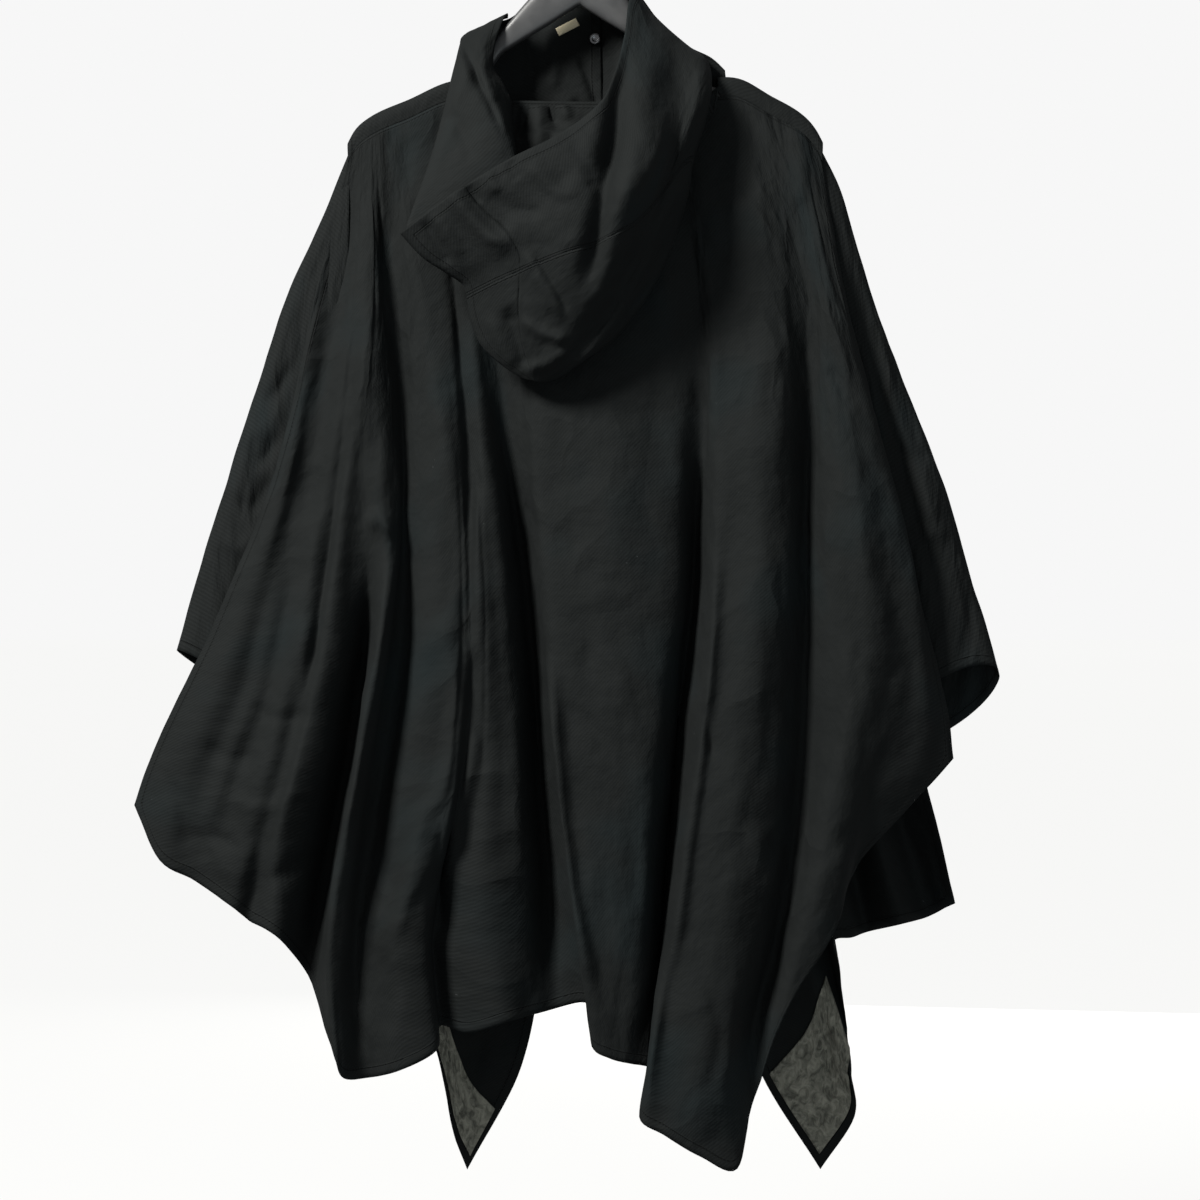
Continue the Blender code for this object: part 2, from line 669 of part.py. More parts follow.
def label_on(name, grid, column, row, material):
    """A small blank label, lying a little askew on the inside of the collar."""
    tool = bmesh.new()
    bmesh.ops.create_cube(tool, size=1.0)
    size = (LABEL_WIDTH * MM, LABEL_HEIGHT * MM, LABEL_THICKNESS * MM)
    bmesh.ops.scale(tool, vec=size, verts=tool.verts)
    piece = mesh_object(name, tool, material)
    seat = place_on(grid, column, row, -1, CLOTH / 2 + SEAM_GAP + LABEL_THICKNESS / 2)
    piece.matrix_world = seat @ Matrix.Rotation(math.radians(LABEL_TURN), 4, "Z")


def build():
    remove_old_objects()
    black = finish("black cloth", BLACK_CLOTH)
    facing_finish = finish("facing cloth", FACING_FINISH)
    label_finish = finish("label", LABEL_FINISH)
    hanger_finish = finish("hanger", HANGER_FINISH)
    steel = finish("steel", STEEL_FINISH)

    sheet("back", back_grid(), black)
    front_left = front_grid(FRONT_LEFT_FOLDS)
    front_right = front_grid(FRONT_RIGHT_FOLDS)
    sheet("front_left", front_left, black)
    sheet("front_right", front_right, black)
    sheet("sleeve_left_back", sleeve_panel(SLEEVE_LEFT_SECTIONS, 0), black)
    sheet("sleeve_left_front", sleeve_panel(SLEEVE_LEFT_SECTIONS, math.pi), black)
    sheet("sleeve_right_back", sleeve_panel(SLEEVE_RIGHT_SECTIONS, 0), black)
    sheet("sleeve_right_front", sleeve_panel(SLEEVE_RIGHT_SECTIONS, math.pi), black)

    strip = CENTRE_STRIP_U
    cross = CROSS_SEAM_V
    sheet("hood_centre_upper", hood_patch(0, strip, 0, cross, 4, 8), black)
    sheet("hood_side", hood_patch(strip, 1, 0, cross, 16, 8), black)
    sheet("hood_centre_lower", hood_patch(0, strip, cross, 1, 4, 8), black)
    sheet("hood_crown", hood_patch(strip, 1, cross, 1, 16, 8), black)
    sheet("hood_nape", nape_grid(), black)
    sheet("hood_left", flap_grid(), black)
    collar_left = collar_grid(COLLAR_LEFT_TOP, neckline(front_left))
    sheet("collar_left", collar_left, black)
    sheet("collar_right", collar_grid(COLLAR_RIGHT_TOP, neckline(front_right)), black)

    last_column, last_row = front_left.shape[0] - 1, front_left.shape[1] - 1
    columns = last_column - np.array((5, 4, 3, 2, 1, 0.25))
    left_rows = last_row - np.array((1.25, 1, 0.12))
    right_rows = last_row - np.array((2, 1, 0.12))
    sheet("facing_left", facing_grid(front_left, columns, left_rows), facing_finish, FACING_CLOTH)
    sheet("facing_right", facing_grid(front_right, columns, right_rows), facing_finish, FACING_CLOTH)

    stud_on("stud_collar", collar_left, 0.5, 2.0, -1, steel)
    label_on("neck_label", collar_left, 2.6, 1.5, label_finish)
    for number, row in enumerate(STUD_ROWS, start=1):
        stud_on(f"stud_{number}", front_right, last_column - 0.5, row, 1, steel)

    hanger(hanger_finish)
    hanger_hook(steel)


build()
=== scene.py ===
"""The looks of a hooded cloak coat in black cotton, seen from its back on a flat coat hanger.

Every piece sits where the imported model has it. Lengths in the tables are millimetres.
"""

import math

import bmesh
import bpy
import numpy as np
from mathutils import Matrix, Vector, noise


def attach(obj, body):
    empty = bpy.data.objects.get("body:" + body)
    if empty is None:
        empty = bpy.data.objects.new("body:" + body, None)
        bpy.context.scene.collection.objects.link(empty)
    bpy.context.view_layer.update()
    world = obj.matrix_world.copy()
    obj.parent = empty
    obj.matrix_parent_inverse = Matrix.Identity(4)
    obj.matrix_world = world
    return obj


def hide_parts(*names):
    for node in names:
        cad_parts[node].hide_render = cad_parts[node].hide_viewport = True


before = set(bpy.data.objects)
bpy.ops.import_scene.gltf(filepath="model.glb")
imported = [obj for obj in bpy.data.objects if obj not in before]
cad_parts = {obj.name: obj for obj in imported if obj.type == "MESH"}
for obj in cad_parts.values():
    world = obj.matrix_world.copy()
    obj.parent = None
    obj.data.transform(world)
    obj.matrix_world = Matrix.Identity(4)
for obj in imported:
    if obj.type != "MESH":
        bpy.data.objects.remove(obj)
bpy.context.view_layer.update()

# Camera
# The photograph was taken straight on to the coat's back, from about three metres away at the
# height of its middle. The frame is 1.14 m wide where the coat hangs.
CAMERA_PLACE = (0.019, -3.2, -0.675)
FRAME_WIDTH = 1.14
SENSOR_WIDTH = 36.0

camera_data = bpy.data.cameras.new("camera")
camera_data.sensor_width = SENSOR_WIDTH
camera_data.lens = SENSOR_WIDTH * -CAMERA_PLACE[1] / FRAME_WIDTH
camera = bpy.data.objects.new("camera", camera_data)
camera.location = CAMERA_PLACE
camera.rotation_euler = (math.radians(90), 0, 0)
bpy.context.scene.collection.objects.link(camera)
bpy.context.scene.camera = camera

# Floor, light and backdrop
# A plain pale floor lies far below the coat and runs into the pale surroundings behind it. One
# large soft lamp lights its back from the upper left, and weaker ones fill the shadows.
FLOOR_HEIGHT = -1.42
KEY = ((-2.0, -2.0, 1.5), (0.0, 0.0, -0.6), 0.8, 268.0, (1.0, 0.98, 0.94))
FILL = ((1.4, -3.0, -1.0), (0.0, 0.0, -0.75), 1.6, 16.0, (0.84, 0.96, 1.0))
FRONT_LAMP = ((0.6, 3.0, -0.9), (0.0, 0.0, -0.7), 1.6, 110.0, (1.0, 0.98, 0.95))
SURROUNDINGS_SEEN = 0.93
SURROUNDINGS_LIGHT = 0.32


def area_lamp(name, place, target, size, watts, colour):
    lamp = bpy.data.lights.new(name, "AREA")
    lamp.shape = "SQUARE"
    lamp.size = size
    lamp.energy = watts
    lamp.color = colour
    holder = bpy.data.objects.new(name, lamp)
    holder.location = place
    aim = Vector(target) - Vector(place)
    holder.rotation_euler = aim.to_track_quat("-Z", "Y").to_euler()
    bpy.context.scene.collection.objects.link(holder)


area_lamp("key lamp", *KEY)
area_lamp("fill lamp", *FILL)
area_lamp("front lamp", *FRONT_LAMP)

# The surroundings look nearly white, and light the coat less than they show, as a backdrop that
# has lamps of its own does
world = bpy.data.worlds.new("surroundings")
world.use_nodes = True
sky = world.node_tree
backdrop = sky.nodes["Background"]
backdrop.inputs["Color"].default_value = (1.0, 1.0, 1.0, 1.0)
seen = sky.nodes.new("ShaderNodeLightPath")
strength = sky.nodes.new("ShaderNodeMapRange")
strength.inputs["To Min"].default_value = SURROUNDINGS_LIGHT
strength.inputs["To Max"].default_value = SURROUNDINGS_SEEN
sky.links.new(seen.outputs["Is Camera Ray"], strength.inputs["Value"])
sky.links.new(strength.outputs["Result"], backdrop.inputs["Strength"])
bpy.context.scene.world = world
bpy.context.scene.view_settings.view_transform = "Standard"


def linear(hex_colour, alpha=1.0):
    """Turns a written sRGB colour into the linear one that a shader takes."""
    channels = [int(hex_colour[place : place + 2], 16) / 255 for place in (1, 3, 5)]
    bent = [c / 12.92 if c <= 0.04045 else ((c + 0.055) / 1.055) ** 2.4 for c in channels]
    return (*bent, alpha)


def add_node(material, kind, settings=None, **inputs):
    """Adds one node to a material. An input is a value, or an output of another node."""
    node = material.node_tree.nodes.new(kind)
    for name, value in (settings or {}).items():
        setattr(node, name, value)
    for name, value in inputs.items():
        place = int(name[1:]) if name[0] == "i" and name[1:].isdigit() else name.replace("_", " ")
        socket = node.inputs[place]
        if isinstance(value, bpy.types.NodeSocket):
            material.node_tree.links.new(value, socket)
        else:
            socket.default_value = value
    return node


def new_material(name):
    """A material with a bare shader, and that shader."""
    material = bpy.data.materials.new(name)
    material.use_nodes = True
    return material, material.node_tree.nodes["Principled BSDF"]


def tinted(material, value, *stops):
    """A colour for each place of a value. The first two stops are the lowest and the highest."""
    node = add_node(material, "ShaderNodeValToRGB", Fac=value)
    elements = node.color_ramp.elements
    for number, (place, colour) in enumerate(stops):
        element = elements[number] if number < 2 else elements.new(place)
        element.position = place
        element.color = linear(colour)
    return node.outputs["Color"]


def object_from(tool, name, material):
    """An object with the shape that the tool holds, smooth and in its material."""
    mesh = bpy.data.meshes.new(name)
    tool.to_mesh(mesh)
    tool.free()
    mesh.shade_smooth()
    mesh.materials.append(material)
    made = bpy.data.objects.new(name, mesh)
    bpy.context.scene.collection.objects.link(made)
    return made


# Matt white floor paint with a faint mottle. Its own glow stands for the lamps of the backdrop.
def floor_paint():
    material, shader = new_material("matt pale floor paint")
    mottle = add_node(material, "ShaderNodeTexNoise", Scale=3.0, Detail=2.0)
    tint = tinted(material, mottle.outputs["Fac"], (0.0, "#f4f4f3"), (1.0, "#f7f7f6"))
    material.node_tree.links.new(tint, shader.inputs["Emission Color"])
    shader.inputs["Emission Strength"].default_value = 1.0
    shader.inputs["Base Color"].default_value = linear("#3c3c3b")
    shader.inputs["Specular IOR Level"].default_value = 0.0
    shader.inputs["Roughness"].default_value = 0.9
    return material


floor_tool = bmesh.new()
bmesh.ops.create_grid(floor_tool, x_segments=1, y_segments=1, size=60.0)
bmesh.ops.translate(floor_tool, vec=(0, 0, FLOOR_HEIGHT), verts=floor_tool.verts)
floor = object_from(floor_tool, "floor", floor_paint())
floor.visible_diffuse = False
floor.visible_glossy = False


# Back
# The coat's back is one wide trapezoid of black cotton twill, sewn to the front yokes behind the
# shoulders and open at both sides. It falls in deep folds from the shoulders and the nape, and
# its sides and hem are turned under by a centimetre and stitched.
MM = 0.001
CLOTH = 1.1
# The distance that is given to an edge with no hem or seam, too far for any stitch
NO_EDGE = 1000.0
SHOULDER_HALF_DEPTH = 9.0
YOKE_DROP = 19.0
# How far down each fold line, from its top to its hem, the tables' x and y values are given
STATIONS = (0.0, 0.2, 0.45, 0.7, 0.9, 1.0)

# The line of the shoulders and the neck: x, z
SHOULDER_LINE = (
    (-221, -243),
    (-214, -230),
    (-204, -220),
    (-160, -199),
    (-123, -183),
    (-60, -183),
    (0, -184),
    (100, -183),
    (150, -180),
    (180, -196),
    (214, -217),
    (224, -229),
    (231, -242),
)

# The back's fold lines from the wearer's left to right.
# name, x at the six stations, z of the hem, y at the last five stations
BACK_FOLDS = (
    ("left_edge", -219, -249, -282, -339, -398, -422, -869, -19, -24, -25, -20, -12),
    ("wing_roll", -216, -243, -274, -323, -377, -395, -920, -23, -34, -42, -38, -30),
    ("wing_valley", -212, -228, -264, -295, -340, -362, -939, -24, -30, -32, -34, -30),
    ("wing_ridge", -207, -214, -241, -271, -308, -327, -961, -27, -40, -52, -54, -48),
    ("wing_dip", -205, -209, -228, -256, -292, -310, -976, -28, -36, -40, -42, -38),
    ("edge_ridge", -201, -197, -219, -242, -277, -284, -988, -30, -46, -60, -62, -58),
    ("left_pocket", -196, -193, -199, -210, -239, -257, -1029, -29, -36, -30, -24, -20),
    ("left_fold", -191, -186, -177, -210, -234, -230, -1089, -28, -44, -66, -74, -70),
    ("left_corner", -188, -182, -171, -202, -222, -221, -1118, -27, -43, -66, -72, -70),
    ("left_trough", -182, -167, -164, -192, -209, -200, -1122, -22, -29, -38, -46, -50),
    ("broad_left", -161, -146, -122, -134, -178, -167, -1112, -30, -52, -66, -70, -72),
    ("broad_turn", -142, -127, -110, -116, -145, -134, -1095, -28, -44, -54, -60, -64),
    ("mid_left_dip", -128, -118, -103, -105, -139, -132, -1076, -22, -28, -30, -28, -26),
    ("mid_left_rise", -118, -111, -94, -92, -114, -103, -1080, -26, -36, -42, -44, -44),
    ("mid_left_ridge", -108, -102, -85, -79, -82, -67, -1069, -28, -40, -46, -52, -54),
    ("deep_left", -93, -87, -63, -43, -30, -30, -1063, -20, -22, -22, -20, -18),
    ("deep_right", -76, -68, -47, -26, -7, 9, -1056, -22, -26, -26, -24, -22),
    ("centre_edge", -61, -51, -34, -20, 0, 12, -1090, -28, -46, -56, -64, -66),
    ("centre_left", -28, -17, 2, 19, 26, 27, -1101, -32, -50, -58, -66, -68),
    ("centre_right", 19, 33, 53, 62, 53, 47, -1107, -34, -52, -58, -62, -62),
    ("centre_fall", 57, 75, 94, 83, 72, 66, -1112, -30, -40, -42, -42, -44),
    ("right_trough", 83, 108, 110, 88, 78, 77, -1121, -22, -24, -22, -20, -20),
    ("sharp_ridge", 100, 121, 123, 101, 70, 56, -1154, -28, -44, -60, -74, -78),
    ("sharp_face", 116, 138, 137, 116, 89, 80, -1171, -30, -50, -68, -80, -84),
    ("broad_right", 149, 175, 171, 145, 120, 112, -1190, -34, -56, -70, -80, -84),
    ("right_corner", 163, 194, 193, 171, 145, 146, -1203, -30, -46, -58, -68, -74),
    ("side_trough", 178, 213, 214, 204, 172, 161, -1148, -22, -30, -36, -44, -50),
    ("side_rise", 191, 224, 231, 235, 208, 193, -1058, -28, -44, -56, -60, -58),
    ("side_ridge", 202, 232, 253, 262, 248, 236, -988, -30, -48, -58, -58, -54),
    ("side_fall", 211, 237, 270, 293, 276, 260, -925, -28, -44, -50, -46, -40),
    ("side_roll", 220, 243, 282, 317, 320, 312, -868, -25, -36, -40, -34, -26),
    ("right_edge", 228, 247, 283, 315, 345, 353, -825, -18, -20, -20, -16, -10),
)

# Creases of the back as seen from behind: name, width, height (troughs below 0), and points in
# pixels of the photograph, where a pixel is 0.95 mm at the coat
PHOTO_PIXEL = 0.95
PHOTO_MIDDLE = 580
PHOTO_TOP = 5
PHOTO_TOP_HEIGHT = -110
BACK_CREASES = (
    ("wing trough", 17, -13, (
        (355, 150), (346, 220), (336, 300), (326, 370), (322, 430), (312, 490), (300, 545),
    )),
    ("shoulder ridge", 14, 7, ((368, 150), (366, 250), (370, 350), (377, 430), (384, 500), (388, 545))),
    ("shoulder trough", 9, -12, (
        (383, 160), (388, 250), (396, 340), (402, 420), (403, 520), (408, 600), (398, 700),
        (384, 790), (366, 890), (350, 970),
    )),
    ("pocket", 8, -22, (
        (374, 548), (371, 600), (366, 650), (356, 700), (346, 760), (332, 830), (320, 900),
        (314, 965),
    )),
    ("pocket beak", 6, 7, ((368, 530), (383, 519), (395, 538))),
    ("pocket edge", 6, 11, ((394, 545), (388, 600), (382, 650), (373, 705), (360, 780), (344, 860))),
    ("lower edge", 8, 4, ((350, 820), (336, 900), (326, 960), (332, 1060))),
    ("wing fill a", 9, 12, (
        (321, 560), (320, 600), (312, 650), (308, 700), (297, 750), (284, 800), (272, 850),
        (262, 895),
    )),
    ("wing fill b", 10, 10, (
        (290, 540), (281, 595), (270, 650), (257, 700), (236, 750), (220, 800), (206, 845),
    )),
    ("plateau rise", 9, 19, (
        (466, 440), (474, 500), (476, 550), (477, 600), (476, 650), (476, 700), (474, 740),
        (467, 780), (459, 810), (451, 850), (444, 905),
    )),
    ("plateau edge", 9, 8, (
        (498, 430), (503, 540), (508, 600), (512, 650), (516, 700), (520, 800), (524, 900),
    )),
    ("plateau cut", 14, -9, ((452, 450), (455, 560), (456, 620), (448, 700), (436, 790), (420, 870))),
    ("swoosh", 8, 5, ((470, 560), (450, 640), (462, 715), (448, 780), (424, 820), (414, 890))),
    ("swoosh shade", 6, -5, ((478, 640), (476, 690), (481, 745))),
    ("low shade a", 8, -7, ((450, 815), (441, 870), (447, 940))),
    ("low shade b", 9, -5, ((398, 820), (386, 880), (380, 950), (392, 1030))),
    ("deep trough", 11, -23, (
        (489, 335), (497, 400), (512, 500), (527, 600), (535, 700), (541, 800), (549, 900),
        (553, 1000), (556, 1036),
    )),
    ("deep edge", 7, 15, (
        (546, 640), (551, 700), (556, 760), (562, 820), (570, 880), (580, 930), (592, 1000),
    )),
    ("middle rise", 30, 4, ((600, 400), (596, 560), (604, 720), (612, 880), (604, 1060))),
    ("right trough", 12, -18, (
        (700, 380), (705, 450), (695, 505), (695, 605), (680, 705), (670, 805), (660, 905),
        (660, 970), (650, 1080),
    )),
    ("right edge", 7, 11, (
        (714, 500), (710, 630), (700, 730), (685, 830), (672, 930), (660, 980), (640, 1130),
    )),
    ("broad face", 30, 6, ((770, 180), (770, 380), (760, 530), (740, 740), (715, 1000), (690, 1170))),
    ("side trough", 12, -13, (
        (810, 240), (805, 305), (805, 380), (807, 455), (805, 530), (805, 680), (800, 780),
        (790, 880), (775, 955), (750, 1005), (735, 1180),
    )),
    ("side ridge", 18, 8, ((835, 300), (850, 500), (870, 605), (840, 780), (800, 980))),
    ("edge trough", 12, -3, ((852, 420), (884, 560), (905, 680), (905, 780))),
    ("left crumple a", 6, -4, ((190, 828), (216, 834), (247, 842))),
    ("left crumple b", 7, 3, ((232, 792), (262, 806), (296, 800))),
    ("left crumple c", 6, -4, ((272, 882), (304, 858), (338, 838))),
    ("left crumple d", 7, -3, ((208, 742), (236, 758), (262, 748))),
    ("left crumple e", 6, -3, ((250, 700), (282, 716), (322, 712))),
    ("left crumple f", 6, 3, ((196, 818), (222, 846), (232, 880))),
    ("left crumple g", 7, -2, ((300, 600), (322, 622), (340, 668))),
    ("left crumple h", 7, -3, ((168, 770), (186, 802), (190, 850))),
    ("left vee a", 5, -4, ((402, 852), (396, 880), (389, 918))),
    ("left vee b", 5, 3, ((430, 862), (414, 890), (400, 930))),
    ("lower left a", 7, -4, ((380, 935), (396, 980), (386, 1030))),
    ("lower left b", 6, 3, ((352, 985), (368, 1010), (372, 1064))),
    ("centre crumple a", 6, -3, ((566, 610), (590, 640), (584, 680))),
    ("centre crumple b", 7, 3, ((600, 640), (622, 672), (618, 720))),
    ("centre crumple c", 6, -3, ((560, 700), (592, 722), (612, 764))),
    ("centre crumple d", 7, -2, ((584, 560), (610, 584), (628, 580))),
    ("centre crumple e", 7, -3, ((620, 800), (634, 850), (628, 910))),
    ("centre crumple f", 7, 3, ((572, 800), (590, 850), (594, 900))),
    ("centre crumple g", 8, -2, ((560, 640), (572, 760), (585, 900))),
    ("right crumple a", 6, -3, ((690, 378), (700, 400), (713, 424))),
    ("right crumple b", 7, -3, ((824, 368), (838, 390), (852, 412))),
    ("right crumple c", 6, -4, ((698, 698), (706, 726), (712, 758))),
    ("right crumple d", 7, -3, ((838, 818), (848, 842), (858, 868))),
    ("right crumple e", 8, 3, ((740, 820), (760, 850), (768, 900))),
    ("right crumple f", 7, -3, ((850, 640), (872, 668), (902, 672))),
    ("right crumple g", 8, -4, ((700, 960), (716, 1020), (704, 1090))),
    ("shoulder pull a", 8, -3, ((404, 130), (412, 190), (430, 238))),
    ("shoulder pull b", 9, -4, ((744, 98), (752, 150), (742, 214))),
    ("shoulder pull c", 8, 4, ((790, 120), (800, 160), (796, 214))),
)


def from_photo(points):
    """Places in the photograph as x, z on the coat."""
    return [
        (PHOTO_PIXEL * (across - PHOTO_MIDDLE), PHOTO_TOP_HEIGHT - PHOTO_PIXEL * (down - PHOTO_TOP))
        for across, down in points
    ]


def ease(value):
    value = np.clip(value, 0.0, 1.0)
    return value * value * (3.0 - 2.0 * value)


def curve_through(places, values, at):
    """A smooth curve through values, given at rising places, read at other places."""
    places = np.asarray(places, float)
    values = np.asarray(values, float)
    at = np.clip(np.asarray(at, float), places[0], places[-1])
    runs = np.diff(places)
    chords = np.diff(values, axis=0) / runs.reshape(-1, *[1] * (values.ndim - 1))
    slopes = np.empty_like(values)
    slopes[0] = chords[0]
    slopes[-1] = chords[-1]
    slopes[1:-1] = 0.5 * (chords[1:] + chords[:-1])
    cell = np.clip(np.searchsorted(places, at, side="right") - 1, 0, len(runs) - 1)
    shape = (-1, *[1] * (values.ndim - 1))
    run = runs[cell].reshape(shape)
    part = ((at - places[cell]) / runs[cell]).reshape(shape)
    start = (1 + 2 * part) * (1 - part) ** 2 * values[cell]
    end = part**2 * (3 - 2 * part) * values[cell + 1]
    bend = part * (1 - part) ** 2 * slopes[cell] - part**2 * (1 - part) * slopes[cell + 1]
    return start + end + run * bend


def edge_at(points, at):
    """Points along an edge, at these parts of its length."""
    points = np.asarray(points, float)
    lengths = np.linalg.norm(np.diff(points, axis=0), axis=1)
    places = np.concatenate([[0.0], np.cumsum(lengths)])
    return curve_through(places / places[-1], points, at)


def shoulder_z(x):
    places, heights = zip(*SHOULDER_LINE)
    return curve_through(places, heights, np.atleast_1d(x))


def across(lines, cells):
    """Fold lines, with a few more laid smoothly between each two."""
    count = len(lines) - 1
    return curve_through(range(count + 1), lines, np.linspace(0, count, count * cells + 1))


def panel(table, rows, cells):
    """A sheet through the fold lines of a table, each from the panel's top to its hem."""
    numbers = np.array([row[1:] for row in table], float)
    folds = across(numbers, cells)
    stations = np.linspace(0, 1, rows + 1)
    x = curve_through(STATIONS, folds[:, :6].T, stations).T
    hem_z = folds[:, 6:7]
    under_yoke = shoulder_z(folds[:, 0])[:, None] - YOKE_DROP
    if numbers.shape[1] > 12:
        top_y = folds[:, 12:13]
        on_shoulder = ease((SHOULDER_HALF_DEPTH + NECK_TURN - top_y) / NECK_TURN)
        top_z = on_shoulder * under_yoke + (1 - on_shoulder) * folds[:, 13:14]
    else:
        top_y = np.full_like(hem_z, -SHOULDER_HALF_DEPTH)
        top_z = under_yoke
    y = curve_through(STATIONS, np.concatenate([top_y, folds[:, 7:12]], axis=1).T, stations).T
    z = top_z + stations * (hem_z - top_z)
    return np.stack([x, y, z], axis=2)


def lengths_over(grid):
    """How far each point of a sheet is from its first line and from its top, along the cloth."""
    ways = []
    for axis in (0, 1):
        steps = np.linalg.norm(np.diff(grid, axis=axis), axis=2)
        way = np.zeros(grid.shape[:2])
        if axis == 0:
            way[1:] = np.cumsum(steps, axis=0)
        else:
            way[:, 1:] = np.cumsum(steps, axis=1)
        ways.append(way)
    return ways


def normals_of(grid):
    normals = np.cross(np.gradient(grid, axis=0), np.gradient(grid, axis=1))
    return normals / np.maximum(np.linalg.norm(normals, axis=2, keepdims=True), 1e-9)


def crease(grid, table, push=(0.0, -1.0, 0.0)):
    """Presses soft troughs and raises soft ridges along lines drawn on the sheet as it is seen."""
    seen = grid[..., [0, 2]]
    raised = np.zeros(grid.shape[:2])
    for _, width, height, line in table:
        points = edge_at(line, np.linspace(0, 1, 5 * len(line)))
        nearest = np.full(raised.shape, np.inf)
        share = np.zeros(raised.shape)
        for number, (start, end) in enumerate(zip(points, points[1:])):
            run = end - start
            part = np.clip(((seen - start) @ run) / max(run @ run, 1e-9), 0, 1)
            away = np.linalg.norm(seen - start - part[..., None] * run, axis=2)
            closer = away < nearest
            nearest = np.where(closer, away, nearest)
            share = np.where(closer, (number + part) / (len(points) - 1), share)
        fade = ease(share / 0.25) * ease((1 - share) / 0.2)
        raised += height * fade * np.exp(-((nearest / width) ** 2))
    return grid + raised[..., None] * np.array(push)


def loosen(grid, seed, across_mm, down_mm, height, still=None):
    """Adds the small uneven waves of cloth that hangs freely, in the direction of its normals."""
    first, top = lengths_over(grid)
    waves = np.empty(first.shape)
    wide = first[:, first.shape[1] // 2]
    for place in np.ndindex(*first.shape):
        spot = Vector((wide[place[0]] / across_mm, top[place] / down_mm, seed))
        waves[place] = noise.noise(spot) + 0.5 * noise.noise(2.3 * spot)
    if still is not None:
        waves *= still
    return grid + normals_of(grid) * (waves * height)[..., None]


def cloth_piece(name, grid, material, thickness=CLOTH, tube=False, hems=(), seams=()):
    """A sheet of cloth through a grid of points. Its UV map is in metres over the cloth, and two
    attributes give how far each point lies from a hemmed edge and from a seam, in millimetres."""
    first, top = lengths_over(grid)
    ways = {"first": first, "last": first[-1:] - first, "top": top, "hem": top[:, -1:] - top}
    far = np.full(first.shape, NO_EDGE)
    to_hem = np.minimum.reduce([far, *[ways[edge] for edge in hems]])
    to_seam = np.minimum.reduce([far, *[ways[edge] for edge in seams]])
    wide = np.repeat(first[:, first.shape[1] // 2, None], first.shape[1], axis=1)
    columns, rows = grid.shape[0] - 1, grid.shape[1] - 1
    tool = bmesh.new()
    bmesh.ops.create_grid(tool, x_segments=columns, y_segments=rows, size=1.0)
    uv_map = tool.loops.layers.uv.new("cloth")
    hem_layer = tool.verts.layers.float.new("from_hem")
    seam_layer = tool.verts.layers.float.new("from_seam")
    for vertex in tool.verts:
        place = (round((vertex.co.x + 1) / 2 * columns), round((vertex.co.y + 1) / 2 * rows))
        vertex.co = grid[place] * MM
        vertex[hem_layer] = to_hem[place]
        vertex[seam_layer] = to_seam[place]
        for loop in vertex.link_loops:
            loop[uv_map].uv = (wide[place] * MM, top[place] * MM)
    if tube:
        bmesh.ops.remove_doubles(tool, verts=tool.verts, dist=0.00001)
    piece = object_from(tool, name, material)
    wall = piece.modifiers.new("thickness of the cloth", "SOLIDIFY")
    wall.thickness = thickness * MM
    wall.offset = 0.0
    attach(piece, "root")
    return piece


def calculate(material, operation, first, second=0.0):
    """The result of one sum on two values, each a number or an output."""
    return add_node(material, "ShaderNodeMath", {"operation": operation}, i0=first, i1=second).outputs[0]


def remap(material, value, low, high, to_low=0.0, to_high=1.0):
    """A value's range, stretched onto another range."""
    limits = {"i1": low, "i2": high, "i3": to_low, "i4": to_high}
    return add_node(material, "ShaderNodeMapRange", Value=value, **limits).outputs[0]


def noise_on(material, over, scale, output="Fac", **inputs):
    """Noise on the given coordinates."""
    return add_node(material, "ShaderNodeTexNoise", Vector=over, Scale=scale, **inputs).outputs[output]


def blended(material, kind, share, first, second):
    """Two colours, blended."""
    kinds = {"data_type": "RGBA", "blend_type": kind}
    return add_node(material, "ShaderNodeMix", kinds, Factor=share, i6=first, i7=second).outputs[2]


def relief(material, height, strength, depth, under=None, sunk=False):
    """The normals of one more relief, raised or sunk, on those under it."""
    inputs = {} if under is None else {"Normal": under}
    inputs.update(Strength=strength, Distance=depth, Height=height)
    return add_node(material, "ShaderNodeBump", {"invert": sunk}, **inputs).outputs["Normal"]


def stitched_relief(material, stitch, hem_row, seam_row):
    """The relief of a turned hem and its stitches, and where the stitching's thread lies."""
    over = add_node(material, "ShaderNodeUVMap", {"uv_map": "cloth"}).outputs["UV"]
    way = add_node(material, "ShaderNodeSeparateXYZ", Vector=over)
    along = calculate(material, "ADD", way.outputs["X"], way.outputs["Y"])
    turn = calculate(material, "MULTIPLY", along, 2 * math.pi / stitch)
    dash = remap(material, calculate(material, "SINE", turn), -0.5, 0.1)
    reaches = []
    threads = []
    for attribute, row in (("from_hem", hem_row), ("from_seam", seam_row)):
        reach = add_node(material, "ShaderNodeAttribute", {"attribute_name": attribute}).outputs["Fac"]
        off = calculate(material, "SUBTRACT", reach, row)
        reaches.append(reach)
        threads.append(remap(material, calculate(material, "ABSOLUTE", off), 0.8, 0.3))
    row = calculate(material, "MAXIMUM", *threads)
    thread = calculate(material, "MULTIPLY", row, dash)
    # The doubled cloth of a hem stands half a millimetre above the single cloth beside it
    turned = remap(material, reaches[0], hem_row + 2.2, hem_row + 1.0)
    return over, row, thread, turned


# Black cotton twill, matt, with a faint cold bloom where light grazes it. Its ribs are 0.5 mm
# apart in life, and drawn at 2.6 mm so that they show. It is a little dusty and worn uneven.
RIB_GAP = 0.0026
STITCH_LENGTH = 0.0036
HEM_STITCHES = 9.0
SEAM_STITCHES = 3.0


